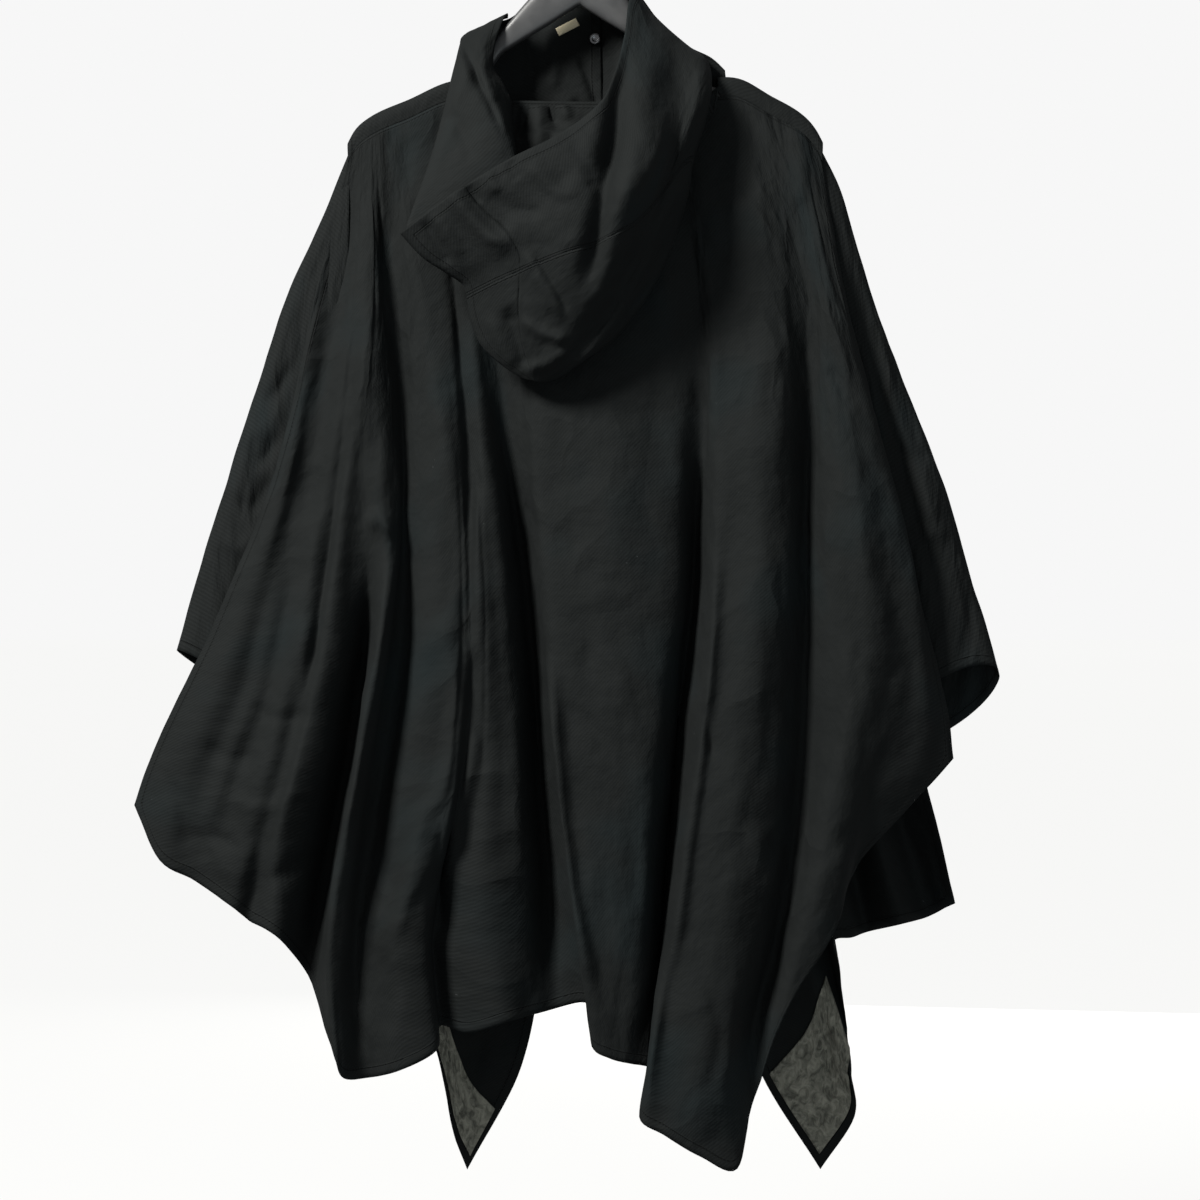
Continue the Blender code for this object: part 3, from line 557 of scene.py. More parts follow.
def black_twill():
    material, shader = new_material("black cotton twill")
    over, row, thread, turned = stitched_relief(material, STITCH_LENGTH, HEM_STITCHES, SEAM_STITCHES)
    # A wave texture of scale 1 repeats 10 / (2 pi) times in a unit, a slanting one 1.41 times that
    diagonal = {"wave_type": "BANDS", "bands_direction": "DIAGONAL", "wave_profile": "SIN"}
    ribs_in_a_metre = 0.628 / RIB_GAP / 1.41
    wave = {"Scale": ribs_in_a_metre, "Distortion": 0.6, "Detail": 1.0}
    ribs = add_node(material, "ShaderNodeTexWave", diagonal, Vector=over, **wave).outputs["Fac"]
    threads = noise_on(material, over, 900.0, Detail=2.0)
    rumple = noise_on(material, over, 28.0, Detail=4.0, Roughness=0.55)
    pleat = noise_on(material, over, 9.0, Detail=2.0, Distortion=0.6)
    bent = noise_on(material, over, 11.0, "Color", Detail=2.0)
    moved = blended(material, "LINEAR_LIGHT", 0.06, over, bent)
    facets = add_node(material, "ShaderNodeTexVoronoi", Vector=moved, Scale=17.0)
    folded = remap(material, noise_on(material, over, 4.5, Detail=1.0), 0.46, 0.60)
    crumples = calculate(material, "MULTIPLY", facets.outputs["Distance"], folded)
    bloom = noise_on(material, over, 6.0, Detail=3.0)
    tint = tinted(material, bloom, (0.32, "#151717"), (0.70, "#181d1e"), (0.52, "#181a1a"))
    woven = blended(material, "MULTIPLY", 1.0, tint, remap(material, ribs, 0.0, 1.0, 0.86, 1.10))
    sewn = blended(material, "MIX", thread, woven, linear("#0d0e0e"))
    dust = add_node(material, "ShaderNodeTexVoronoi", Vector=over, Scale=85.0)
    speck = remap(material, dust.outputs["Distance"], 0.055, 0.035, 0.0, 0.35)
    some = remap(material, noise_on(material, over, 17.0), 0.60, 0.66)
    lint = calculate(material, "MULTIPLY", speck, some)
    dusty = blended(material, "MIX", lint, sewn, linear("#55585a"))
    material.node_tree.links.new(dusty, shader.inputs["Base Color"])
    rough = remap(material, bloom, 0.3, 0.7, 0.74, 0.90)
    material.node_tree.links.new(rough, shader.inputs["Roughness"])
    shader.inputs["Specular IOR Level"].default_value = 0.05
    shader.inputs["Sheen Weight"].default_value = 0.006
    shader.inputs["Sheen Roughness"].default_value = 0.45
    shader.inputs["Sheen Tint"].default_value = (0.75, 0.86, 0.90, 1.0)
    # From the broadest relief to the finest, each on the one before, with depths in metres
    large = relief(material, pleat, 0.5, 0.008)
    broken = relief(material, crumples, 0.8, 0.007, large)
    medium = relief(material, rumple, 0.85, 0.0045, broken)
    step = relief(material, turned, 0.5, 0.0005, medium)
    sunk = relief(material, row, 0.9, 0.0005, step, sunk=True)
    weave = relief(material, ribs, 0.35, 0.0002, sunk)
    fuzz = relief(material, threads, 0.25, 0.0002, weave)
    material.node_tree.links.new(fuzz, shader.inputs["Normal"])
    return material


black_cotton = black_twill()
BACK_ROWS = 190
BACK_FOLD_CELLS = 7
back_shape = panel(BACK_FOLDS, BACK_ROWS, BACK_FOLD_CELLS)
back_shape = crease(back_shape, [(*row[:3], from_photo(row[3])) for row in BACK_CREASES])
hangs = ease((np.arange(BACK_ROWS + 1) / BACK_ROWS - 0.02) / 0.1)[None]
back_shape = loosen(back_shape, 3.1, 42.0, 130.0, 2.4, hangs)
back_shape = loosen(back_shape, 7.7, 17.0, 38.0, 0.9, hangs)
back = cloth_piece("back_cloth", back_shape, black_cotton, hems=("first", "last", "hem"), seams=("top",))
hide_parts("back")

# Fronts
# Each front is cut in one with its yoke, which lies over the shoulder on the hanger and is sewn
# to the back behind it. The fronts hang open, lap a little at the neck, and end in square
# corners that show below the back's hem.
YOKE_SEAM_GAP = -0.6
# How far forward of the shoulder's front a neckline starts to leave the yoke
NECK_TURN = 2.5
PANEL_ROWS = 112
YOKE_ROWS = 24
FOLD_CELLS = 8

# The fronts' fold lines from the side to the centre edge.
# name, x at the six stations, z of the hem, y at the last five stations, y and z at the neck
FRONT_LEFT_FOLDS = (
    ("side_edge", -220, -244, -278, -313, -330, -332, -945, 18, 32, 42, 45, 40, 9, -248),
    ("side_roll", -212, -236, -268, -302, -319, -321, -953, 20, 40, 54, 58, 54, 9, -243),
    ("side_ridge", -195, -220, -249, -280, -297, -301, -971, 24, 50, 66, 72, 70, 9, -237),
    ("side_valley", -172, -191, -221, -248, -262, -265, -997, 18, 32, 40, 42, 40, 9, -226),
    ("arm_ridge", -148, -165, -189, -214, -226, -229, -1031, 26, 54, 72, 80, 80, 9, -213),
    ("neck_out", -125, -144, -166, -188, -199, -202, -1047, 22, 42, 52, 56, 54, 9, -202),
    ("arm_valley", -119, -133, -152, -173, -184, -187, -1060, 20, 36, 44, 46, 44, 10.2, -203),
    ("neck_in", -113, -125, -144, -164, -176, -180, -1070, 22, 40, 50, 54, 54, 11.5, -204),
    ("chest_ridge", -100, -107, -124, -141, -154, -158, -1093, 26, 50, 68, 76, 76, 16, -207),
    ("chest_slope", -67, -72, -87, -109, -131, -139, -1112, 28, 48, 58, 60, 56, 26, -212),
    ("tip_edge", -29, -31, -47, -73, -102, -124, -1186, 34, 54, 66, 68, 60, 32, -218),
    ("centre_edge", 21, 19, 2, -30, -57, -110, -1227, 36, 56, 70, 74, 66, 34, -225),
)

FRONT_RIGHT_FOLDS = (
    ("side_edge", 230, 250, 278, 308, 345, 360, -967, 18, 32, 42, 45, 40, 9, -247),
    ("side_roll", 222, 241, 268, 297, 333, 351, -973, 20, 40, 54, 58, 54, 9, -242),
    ("side_ridge", 207, 225, 252, 279, 315, 336, -983, 24, 50, 66, 72, 70, 9, -235),
    ("side_valley", 183, 201, 225, 250, 287, 308, -987, 18, 32, 40, 42, 40, 9, -224),
    ("arm_ridge", 167, 180, 204, 228, 262, 280, -998, 26, 54, 72, 80, 80, 9, -211),
    ("neck_out", 135, 153, 183, 213, 246, 262, -1001, 22, 42, 52, 56, 54, 9, -200),
    ("arm_valley", 129, 145, 173, 200, 233, 244, -1004, 20, 36, 44, 46, 44, 10.2, -201),
    ("neck_in", 123, 139, 167, 197, 236, 250, -1035, 22, 40, 50, 54, 54, 11.5, -202),
    ("chest_ridge", 109, 125, 153, 189, 238, 259, -1098, 26, 50, 68, 76, 74, 16, -205),
    ("chest_slope", 81, 94, 127, 172, 227, 262, -1135, 30, 50, 60, 62, 60, 27, -210),
    ("tip_edge", 38, 53, 96, 155, 213, 266, -1176, 38, 60, 70, 72, 68, 36, -216),
    ("centre_edge", -5, -2, 58, 131, 172, 233, -1228, 41, 63, 76, 78, 72, 38, -223),
)

# Creases of the fronts as seen from behind: name, width, height (troughs below 0), points x, z
FRONT_LEFT_CREASES = (
    ("arm pull", 12, 4, ((-150, -225), (-185, -330), (-205, -450))),
    ("arm trough", 11, -5, ((-175, -260), (-222, -420), (-246, -600), (-255, -800))),
    ("side ridge", 15, 4, ((-205, -300), (-262, -560), (-300, -800), (-310, -960))),
    ("chest trough", 13, -6, ((-128, -240), (-150, -480), (-182, -760), (-190, -1060))),
    ("chest ridge", 14, 5, ((-100, -230), (-118, -480), (-142, -780), (-150, -1090))),
    ("centre trough", 12, -5, ((-58, -300), (-80, -560), (-108, -840), (-128, -1080))),
    ("centre ridge", 10, 4, ((-20, -330), (-34, -520), (-60, -740))),
    ("hem curl a", 9, 4, ((-118, -960), (-124, -1050), (-120, -1120))),
    ("hem curl b", 8, -4, ((-88, -1010), (-96, -1080), (-104, -1150))),
    ("crumple a", 8, -3, ((-60, -430), (-92, -452), (-120, -446))),
    ("crumple b", 8, 3, ((-210, -640), (-240, -652), (-268, -640))),
    ("crumple c", 7, -3, ((-130, -700), (-158, -716), (-184, -708))),
)
FRONT_RIGHT_CREASES = (
    ("arm pull", 12, 4, ((160, -222), (190, -330), (212, -450))),
    ("arm trough", 11, -5, ((186, -260), (228, -420), (256, -620), (292, -840))),
    ("side ridge", 15, 4, ((218, -300), (262, -540), (300, -780), (338, -950))),
    ("chest trough", 13, -6, ((140, -250), (172, -480), (214, -740), (248, -1000))),
    ("chest ridge", 14, 5, ((112, -250), (146, -500), (200, -800), (256, -1070))),
    ("centre trough", 12, -5, ((66, -300), (108, -560), (170, -820), (234, -1040))),
    ("centre ridge", 10, 4, ((14, -330), (44, -520), (96, -760), (160, -960))),
    ("hem curl a", 9, 4, ((262, -990), (270, -1060), (266, -1130))),
    ("hem curl b", 8, -4, ((232, -1040), (240, -1100), (244, -1150))),
    ("crumple a", 8, -3, ((60, -420), (92, -446), (124, -440))),
    ("crumple b", 8, 3, ((236, -620), (262, -636), (288, -626))),
    ("crumple c", 7, -3, ((150, -690), (178, -710), (208, -700))),
)


def front(table, creases, seed):
    """A front, with the yoke that it carries over the shoulder to the seam on the back."""
    grid = panel(table, PANEL_ROWS, FOLD_CELLS)
    grid = crease(grid, creases)
    hangs = ease((np.arange(PANEL_ROWS + 1) / PANEL_ROWS - 0.03) / 0.12)[None]
    grid = loosen(grid, seed, 40.0, 130.0, 2.2, hangs)
    grid = loosen(grid, seed + 4.4, 16.0, 36.0, 0.9, hangs)
    half = SHOULDER_HALF_DEPTH
    yoke = []
    for x, y, z in grid[:, 0]:
        on_shoulder = np.clip((half + NECK_TURN - y) / NECK_TURN, 0, 1)
        top = shoulder_z(x)[0]
        over = (
            (x, -half, top - YOKE_DROP + YOKE_SEAM_GAP),
            (x, -half, top - half),
            (x, -half * 0.72, top - half * 0.31),
            (x, 0.0, top),
            (x, half * 0.72, top - half * 0.31),
            (x, half, top - half),
            (x, half, top - YOKE_DROP),
        )
        start = 0.8 * (1 - ease(2 * on_shoulder - 1))
        steps = np.linspace(start, 1, YOKE_ROWS + 1)[:-1]
        over_shoulder = curve_through((0, 0.2, 0.35, 0.5, 0.65, 0.8, 1), over, steps)
        below_neck = np.array([(x, y, z + 12.0 * (1 - step / YOKE_ROWS)) for step in range(YOKE_ROWS)])
        blend = ease(2 * on_shoulder)
        yoke.append(blend * over_shoulder + (1 - blend) * below_neck)
    return np.concatenate([np.array(yoke), grid], axis=1)


front_left_shape = front(FRONT_LEFT_FOLDS, FRONT_LEFT_CREASES, 11.3)
front_left = cloth_piece("front_left_cloth", front_left_shape, black_cotton, hems=("first", "last", "hem"))
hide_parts("front_left")
front_right_shape = front(FRONT_RIGHT_FOLDS, FRONT_RIGHT_CREASES, 15.9)
front_right = cloth_piece(
    "front_right_cloth", front_right_shape, black_cotton, hems=("first", "last", "hem")
)
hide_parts("front_right")

# Sleeves
# Wide sleeves of the same twill hang between the back and the fronts, set into the armholes at
# their tops. Each is a flat tube with a turned and stitched cuff, open at its end.

# The tubes' sections from the shoulder down to the cuff.
# outer x, outer z, inner x, inner z, y, half depth, rise of the near side
SLEEVE_LEFT_SECTIONS = (
    (-218, -248, -220, -419, 0, 12.0, 0),
    (-242, -305, -230, -485, 0, 12.2, 0),
    (-281, -395, -240, -537, 2, 13, 0),
    (-324, -523, -257, -604, 6, 15, 0),
    (-357, -632, -276, -685, 6, 16, 2),
    (-383, -723, -297, -775, 6, 18, 6),
)

SLEEVE_RIGHT_SECTIONS = (
    (229, -248, 234, -419, 0, 11.4, 0),
    (247, -286, 243, -466, 0, 11.3, 0),
    (266, -347, 255, -513, 2, 10, 0),
    (285, -409, 269, -561, 4, 13, 0),
    (314, -485, 281, -618, 7, 16, 3),
    (348, -570, 293, -675, 9, 17, 8),
    (371, -656, 297, -742, 10, 18, 16),
    (399, -748, 290, -804, 10, 19, 28),
)

# Creases of a sleeve's near side as seen from behind, as those of the back
SLEEVE_LEFT_CREASES = (
    ("outer ridge", 9, 3, ((-240, -300), (-290, -440), (-330, -580), (-352, -660))),
    ("pull a", 6, -4, ((-322, -462), (-296, -484), (-270, -446))),
    ("pull b", 7, 3, ((-332, -500), (-304, -516), (-282, -490))),
    ("pull c", 6, -4, ((-328, -520), (-306, -544), (-282, -514))),
    ("pull d", 7, -4, ((-330, -572), (-312, -588), (-292, -556))),
    ("pull e", 7, 3, ((-344, -612), (-322, -626), (-300, -600))),
    ("cuff fold", 7, -3, ((-352, -610), (-338, -660), (-330, -706))),
)
SLEEVE_RIGHT_CREASES = (
    ("outer ridge", 10, 4, ((240, -280), (270, -380), (302, -500), (348, -640))),
    ("long trough", 9, -5, ((256, -330), (284, -460), (318, -590), (352, -700))),
    ("pull a", 7, -3, ((276, -412), (292, -430), (306, -426))),
    ("pull b", 7, -3, ((296, -520), (318, -540), (336, -532))),
    ("pull c", 8, 3, ((310, -600), (334, -612), (356, -604))),
    ("cuff fold", 7, -3, ((366, -640), (372, -690), (366, -730))),
)


def sleeve(sections, creases, seed, around=112, cells=22):
    """A flat tube through its sections, creased on its near and its far side."""
    sections = across(np.array(sections, float), cells)
    turn = np.linspace(0, 2 * math.pi, around + 1)
    rings = []
    for outer_x, outer_z, inner_x, inner_z, y, half_depth, rise in sections:
        middle = np.array([(outer_x + inner_x) / 2, y, (outer_z + inner_z) / 2])
        reach = np.array([(outer_x - inner_x) / 2, 0, (outer_z - inner_z) / 2])
        depth = np.array([0, -half_depth, rise])
        rings.append(middle + np.cos(turn)[:, None] * reach + np.sin(turn)[:, None] * depth)
    grid = np.array(rings).transpose(1, 0, 2)
    near = np.sin(turn)[:, None, None]
    creased = crease(grid, creases) - grid
    far_creases = [(name, 1.2 * width, height, line) for name, width, height, line in creases]
    mirrored = crease(grid, far_creases, push=(0, 1, 0)) - grid
    grid = grid + creased * np.clip(near, 0, 1) + 0.8 * mirrored * np.clip(-near, 0, 1)
    first, top = lengths_over(grid)
    drape = ease((np.arange(grid.shape[1]) / (grid.shape[1] - 1) - 0.04) / 0.15)[None]
    waves = np.empty(first.shape)
    for place in np.ndindex(*first.shape):
        angle = turn[place[0]]
        spot = Vector((1.6 * math.cos(angle), 1.6 * math.sin(angle), top[place] / 85.0 + seed))
        waves[place] = noise.noise(spot) + 0.5 * noise.noise(2.7 * spot)
    return grid + normals_of(grid) * (waves * drape * 1.8)[..., None]


sleeve_left_shape = sleeve(SLEEVE_LEFT_SECTIONS, SLEEVE_LEFT_CREASES, 21.2)
sleeve_left = cloth_piece(
    "sleeve_left_cloth", sleeve_left_shape, black_cotton, tube=True, hems=("hem",), seams=("top",)
)
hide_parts("sleeve_left_back", "sleeve_left_front")
sleeve_right_shape = sleeve(SLEEVE_RIGHT_SECTIONS, SLEEVE_RIGHT_CREASES, 26.8, cells=17)
sleeve_right = cloth_piece(
    "sleeve_right_cloth", sleeve_right_shape, black_cotton, tube=True, hems=("hem",), seams=("top",)
)
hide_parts("sleeve_right_back", "sleeve_right_front")

# Hood, near side
# The hood hangs down the back like a bag, turned towards the wearer's left. Its near side is a
# centre strip with a hemmed face edge and two side pieces, joined by a seam along the strip and
# one across it, all topstitched.
HOOD_SEAM_GAP = 0.9
HOOD_SEAM_LAP = 0.25
HOOD_BELLY = 30.0
HOOD_VALLEY = 14.0
# Where the seams lie, as parts of the near side's width and of its fall
CENTRE_STRIP_U = 0.19
CROSS_SEAM_V = 0.47

# The hood's edges, each a short run of x, y, z
FACE_EDGE = (
    (-166, -86, -336),
    (-121, -98, -304),
    (-64, -108, -270),
    (-18, -108, -247),
    (19, -96, -217),
    (31, -84, -191),
    (42, -46, -145),
    (47, -12, -106),
    (51, 2, -97),
    (53, 13, -96),
)

HOOD_LEFT_SIDE = (
    (-166, -86, -336),
    (-145, -80, -358),
    (-123, -75, -372),
    (-108, -70, -383),
    (-102, -63, -414),
    (-91, -62, -438),
    (-68, -62, -459),
    (-51, -62, -469),
)

HOOD_RIGHT_SIDE = (
    (53, 13, -96),
    (73, 3, -122),
    (103, 0, -149),
    (119, -8, -162),
    (124, -28, -190),
    (117, -42, -228),
    (106, -48, -264),
    (100, -52, -301),
    (72, -55, -376),
    (31, -60, -433),
    (-9, -62, -459),
)

HOOD_TIP = (
    (-51, -62, -469),
    (-37, -64, -472),
    (-21, -64, -469),
    (-9, -62, -459),
)

HOOD_CREASES = (
    ("valley", 9, -14, ((46, -150), (36, -215), (26, -285), (14, -350), (2, -405))),
    ("left of the valley", 12, 5, ((24, -200), (10, -260), (-4, -310))),
    ("right lobe", 15, 9, ((72, -130), (66, -200), (52, -270), (34, -340))),
    ("rim trough", 10, -4, ((96, -150), (92, -215), (74, -285), (48, -345))),
    ("rim fold", 8, 5, ((116, -170), (118, -215), (106, -265), (84, -320))),
    ("band crest", 7, 6, ((-128, -288), (-106, -316), (-84, -340), (-56, -352))),
    ("band shade", 9, -5, ((-106, -290), (-84, -318), (-62, -336))),
    ("tip hollow", 8, -7, ((-66, -400), (-56, -436), (-46, -462))),
    ("hollow left lip", 7, 3, ((-86, -404), (-76, -434), (-60, -462))),
    ("crown crest", 5, 5, ((-58, -414), (-36, -428), (-8, -438))),
    ("tip lip", 6, 4, ((-52, -464), (-30, -455), (-8, -445))),
    ("crown front", 6, 4, ((-54, -350), (-34, -382), (-14, -420))),
    ("crown groove", 3, -2, ((-46, -350), (-26, -382), (-7, -416))),
    ("crown pull a", 5, -2, ((-66, -366), (-54, -384), (-48, -402))),
    ("crown pull b", 4, 2, ((-44, -372), (-34, -392), (-28, -412))),
    ("strip pucker a", 5, -4, ((-146, -322), (-130, -346), (-118, -366))),
    ("strip pucker b", 5, 3, ((-136, -316), (-120, -340), (-108, -360))),
    ("face pull a", 7, -4, ((-92, -300), (-60, -316), (-30, -322))),
    ("face pull b", 7, 4, ((-48, -272), (-20, -300), (4, -306))),
    ("face pull c", 6, -3, ((-8, -250), (8, -280), (16, -302))),
    ("edge pucker a", 4, -3, ((-104, -292), (-98, -302), (-90, -310))),
    ("edge pucker b", 4, 3, ((-84, -280), (-80, -292), (-74, -302))),
    ("edge pucker c", 4, -3, ((-64, -270), (-60, -282), (-54, -290))),
)


def between_edges(top, bottom, left, right, u, v):
    """A patch inside four edges: u runs along top and bottom, v down left and right."""
    top_points = edge_at(top, u)[:, None]
    bottom_points = edge_at(bottom, u)[:, None]
    left_points = edge_at(left, v)[None]
    right_points = edge_at(right, v)[None]
    u = np.asarray(u, float)[:, None, None]
    v = np.asarray(v, float)[None, :, None]
    lofted = (1 - v) * top_points + v * bottom_points
    spanned = (1 - u) * left_points + u * right_points
    corners = (1 - v) * ((1 - u) * np.array(top[0]) + u * np.array(top[-1]))
    corners = corners + v * ((1 - u) * np.array(bottom[0]) + u * np.array(bottom[-1]))
    return lofted + spanned - corners


def hood_patch(u_from, u_to, v_from, v_to, across_cells, down_cells):
    """A part of the hood's near side, as it hangs down the back like a bag."""
    u = np.linspace(u_from, u_to, across_cells + 1)
    v = np.linspace(v_from, v_to, down_cells + 1)
    grid = between_edges(FACE_EDGE, HOOD_TIP, HOOD_LEFT_SIDE, HOOD_RIGHT_SIDE, u, v)
    u = u[:, None]
    v = v[None]
    belly = HOOD_BELLY * np.sin(math.pi * u).clip(0) ** 0.8 * np.sin(math.pi * v).clip(0) ** 0.8
    valley_u = 0.86 - 0.36 * v
    valley = HOOD_VALLEY * np.exp(-(((u - valley_u) / 0.12) ** 2))
    grid[..., 1] += valley * ease((v - 0.08) / 0.25) * ease((1 - v) / 0.3) - belly
    grid = crease(grid, HOOD_CREASES)
    rim = np.sin(math.pi * np.clip(u, 0, 1)) ** 0.5 * np.sin(math.pi * np.clip(v, 0, 1)) ** 0.5
    for place in np.ndindex(*grid.shape[:2]):
        spot = Vector(grid[place] / 24.0)
        wave = noise.noise(spot + Vector((0, 0, 41.0))) + 0.5 * noise.noise(2.4 * spot)
        grid[place][1] += 1.6 * wave * rim[place]
    return lapped(grid, u_from > 0, u_to < 1, v_from > 0, v_to < 1)


def unit(vectors):
    return vectors / np.linalg.norm(vectors, axis=-1, keepdims=True)


def lapped(grid, first_column, last_column, first_row, last_row):
    """Lets the chosen edges of a sheet reach a little past their seam, so that no light shows."""
    grid = grid.copy()
    if first_column:
        grid[0] -= HOOD_SEAM_LAP * unit(grid[1] - grid[0])
    if last_column:
        grid[-1] -= HOOD_SEAM_LAP * unit(grid[-2] - grid[-1])
    if first_row:
        grid[:, 0] -= HOOD_SEAM_LAP * unit(grid[:, 1] - grid[:, 0])
    if last_row:
        grid[:, -1] -= HOOD_SEAM_LAP * unit(grid[:, -2] - grid[:, -1])
    return grid


# name, where it starts and ends in u, and in v, its cells across and down, its hemmed edges,
# its seamed edges
HOOD_PARTS = (
    ("hood_centre_upper", 0.0, CENTRE_STRIP_U, 0.0, CROSS_SEAM_V, 22, 56, ("top", "first"), ("hem",)),
    ("hood_side", CENTRE_STRIP_U, 1.0, 0.0, CROSS_SEAM_V, 100, 56, ("top",), ("last", "hem")),
    ("hood_centre_lower", 0.0, CENTRE_STRIP_U, CROSS_SEAM_V, 1.0, 22, 56, ("first",), ("top",)),
    ("hood_crown", CENTRE_STRIP_U, 1.0, CROSS_SEAM_V, 1.0, 100, 56, (), ("last", "top")),
)
for node, u_from, u_to, v_from, v_to, columns, rows, hemmed, seamed in HOOD_PARTS:
    shape = hood_patch(u_from, u_to, v_from, v_to, columns, rows)
    cloth_piece(f"{node}_cloth", shape, black_cotton, hems=hemmed, seams=seamed)
    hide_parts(node)

# Hood, far side
# The hood's other half lies behind, from the pleated seam at the nape down to the bag's tip.
NAPE_PLEATS = 9
NAPE_PLEAT_DEPTH = 4.0
# Pleats that show above the hood's face edge, as seen from behind
NAPE_CREASES = (
    ("left gap", 4, -8, ((-72, -198), (-70, -220), (-66, -252))),
    ("left pleat", 5, 7, ((-60, -198), (-64, -222), (-66, -250))),
    ("middle gap", 4, -9, ((-50, -200), (-54, -220), (-58, -244))),
    ("middle pleat", 6, 5, ((-38, -200), (-38, -216), (-42, -236))),
    ("right gap", 3, -8, ((-27, -196), (-26, -212), (-24, -226))),
    ("right pleat", 5, 5, ((-16, -198), (-14, -212), (-10, -222))),
)

NAPE_SEAM = (
    (-117, -11.5, -205),
    (-94, -11.5, -206),
    (-63, -11.5, -207),
    (-19, -11.5, -207),
    (19, -11.5, -207),
    (95, -11.5, -206),
    (116, -11.5, -200),
    (132, -11.5, -188),
)

# Below these points the nape's sides and tip follow the near side's
NAPE_LEFT_SIDE = (
    (-117, -11.5, -205),
    (-122, -28, -242),
    (-127, -44, -301),
    (-117, -56, -353),
)

NAPE_RIGHT_SIDE = (
    (132, -11.5, -188),
    (127, -20, -214),
)


def nape(across_cells=108, down_cells=84):
    u = np.linspace(0, 1, across_cells + 1)
    v = np.linspace(0, 1, down_cells + 1)
    behind = np.array((0, 1.5 + HOOD_SEAM_GAP, 0))
    left = [*NAPE_LEFT_SIDE, *(edge_at(HOOD_LEFT_SIDE, np.linspace(0.42, 1, 9)) + behind)]
    right = [*NAPE_RIGHT_SIDE, *(edge_at(HOOD_RIGHT_SIDE, np.linspace(0.34, 1, 11)) + behind)]
    tip = np.array(HOOD_TIP) + behind
    grid = between_edges(NAPE_SEAM, tip, left, right, u, v)
    u = u[:, None]
    v = v[None]
    pleats = NAPE_PLEAT_DEPTH * np.cos(2 * math.pi * u * NAPE_PLEATS) * np.sin(math.pi * u) ** 2
    grid[..., 1] -= pleats * np.exp(-(((v - 0.14) / 0.1) ** 2)) * ease(v / 0.08)
    return crease(grid, NAPE_CREASES)


hood_nape = cloth_piece("hood_nape_cloth", nape(), black_cotton, seams=("top", "first", "last", "hem"))
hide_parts("hood_nape")

# Hood, left side
# The hood's left edge is turned out over the collar and falls to where the bag covers it. Its
# face edge is hemmed.
# Its outer line, its ridge and its inner line, each from the neck down
FLAP_OUTER = (
    (-112, 2, -142),
    (-113, -7, -146),
    (-117, -26, -169),
    (-120, -34, -183),
    (-126, -46, -213),
    (-139, -62, -265),
    (-152, -74, -304),
    (-161, -81, -331),
)

FLAP_RIDGE = (
    (-104, 5, -134),
    (-109, -10, -142),
    (-105, -38, -165),
    (-100, -56, -181),
    (-92, -64, -198),
    (-83, -70, -213),
    (-64, -84, -265),
    (-62, -86, -280),
    (-62, -86, -292),
)

FLAP_INNER = (
    (-69, 16, -119),
    (-69, 4, -117),
    (-74, -10, -128),
    (-82, -23, -172),
    (-72, -30, -190),
    (-65, -34, -205),
    (-63, -46, -235),
    (-59, -62, -258),
    (-58, -70, -270),
)

FLAP_CREASES = (
    ("ridge fold", 8, 4, ((-108, -150), (-112, -190), (-124, -240), (-140, -290))),
    ("roll pull a", 7, -3, ((-106, -140), (-98, -170), (-92, -205))),
    ("roll pull b", 6, 3, ((-88, -150), (-84, -180), (-76, -215))),
    ("pull c", 7, -3, ((-130, -215), (-112, -235), (-98, -270))),
    ("turned edge", 4, -8, ((-112, -146), (-100, -177), (-85, -210), (-69, -248))),
    ("inner roll", 6, 6, ((-88, -152), (-89, -190), (-78, -222), (-67, -246))),
)


def flap(rows=96):
    v = np.linspace(0, 1, rows + 1)
    outer = edge_at(FLAP_OUTER, v)
    ridge = edge_at(FLAP_RIDGE, v)
    inner = edge_at(FLAP_INNER, v)
    halfway = 0.5 * (outer + ridge) + np.outer(np.sin(math.pi * v), (0, -8, 0))
    grid = crease(across(np.array([outer, halfway, ridge, inner]), 14), FLAP_CREASES)
    return loosen(grid, 33.0, 26.0, 60.0, 1.2)


hood_left = cloth_piece("hood_left_cloth", flap(), black_cotton, hems=("last", "top"))
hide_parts("hood_left")

# Collar
# Each collar half stands on its front's neckline and turns over at the neck point, seen here
# from inside through the hood's opening.
# The collar's top edges, from the centre to the neck point
COLLAR_LEFT_TOP = (
    (20, 34, -100),
    (-19, 32, -98),
    (-51, 28, -107),
    (-68, 17.8, -120),
    (-93, 10.6, -128),
    (-111, 4, -142),
    (-117, 6, -163),
    (-119, 8, -180),
)

COLLAR_RIGHT_TOP = (
    (-4, 41, -99),
    (22, 38, -95),
    (40, 32, -94),
    (53, 16, -95.5),
    (73, 5.6, -121.5),
    (103, 2, -149),
    (125, 3, -160),
    (138, 7, -171),
)

# Where a collar's seam edge lies from its neckline: a little inside it and below
COLLAR_SEAM_LAP = (0.0, -1.2, -2.5)
COLLAR_CREASES = (
    ("inner crease", 5, -3, ((-10, -196), (-3, -200), (16, -204))),
    ("pull a", 7, 3, ((-30, -120), (-24, -150), (-28, -190))),
    ("pull b", 6, -3, ((-56, -130), (-48, -160), (-46, -196))),
    ("centre seam", 4, -4, ((-3, -150), (8, -176), (19, -206))),
)


def neckline(front_shape):
    """The free edge of a front's first row, from the centre edge to the neck point."""
    edge = front_shape[::-1, 0]
    return edge[edge[:, 1] > SHOULDER_HALF_DEPTH]


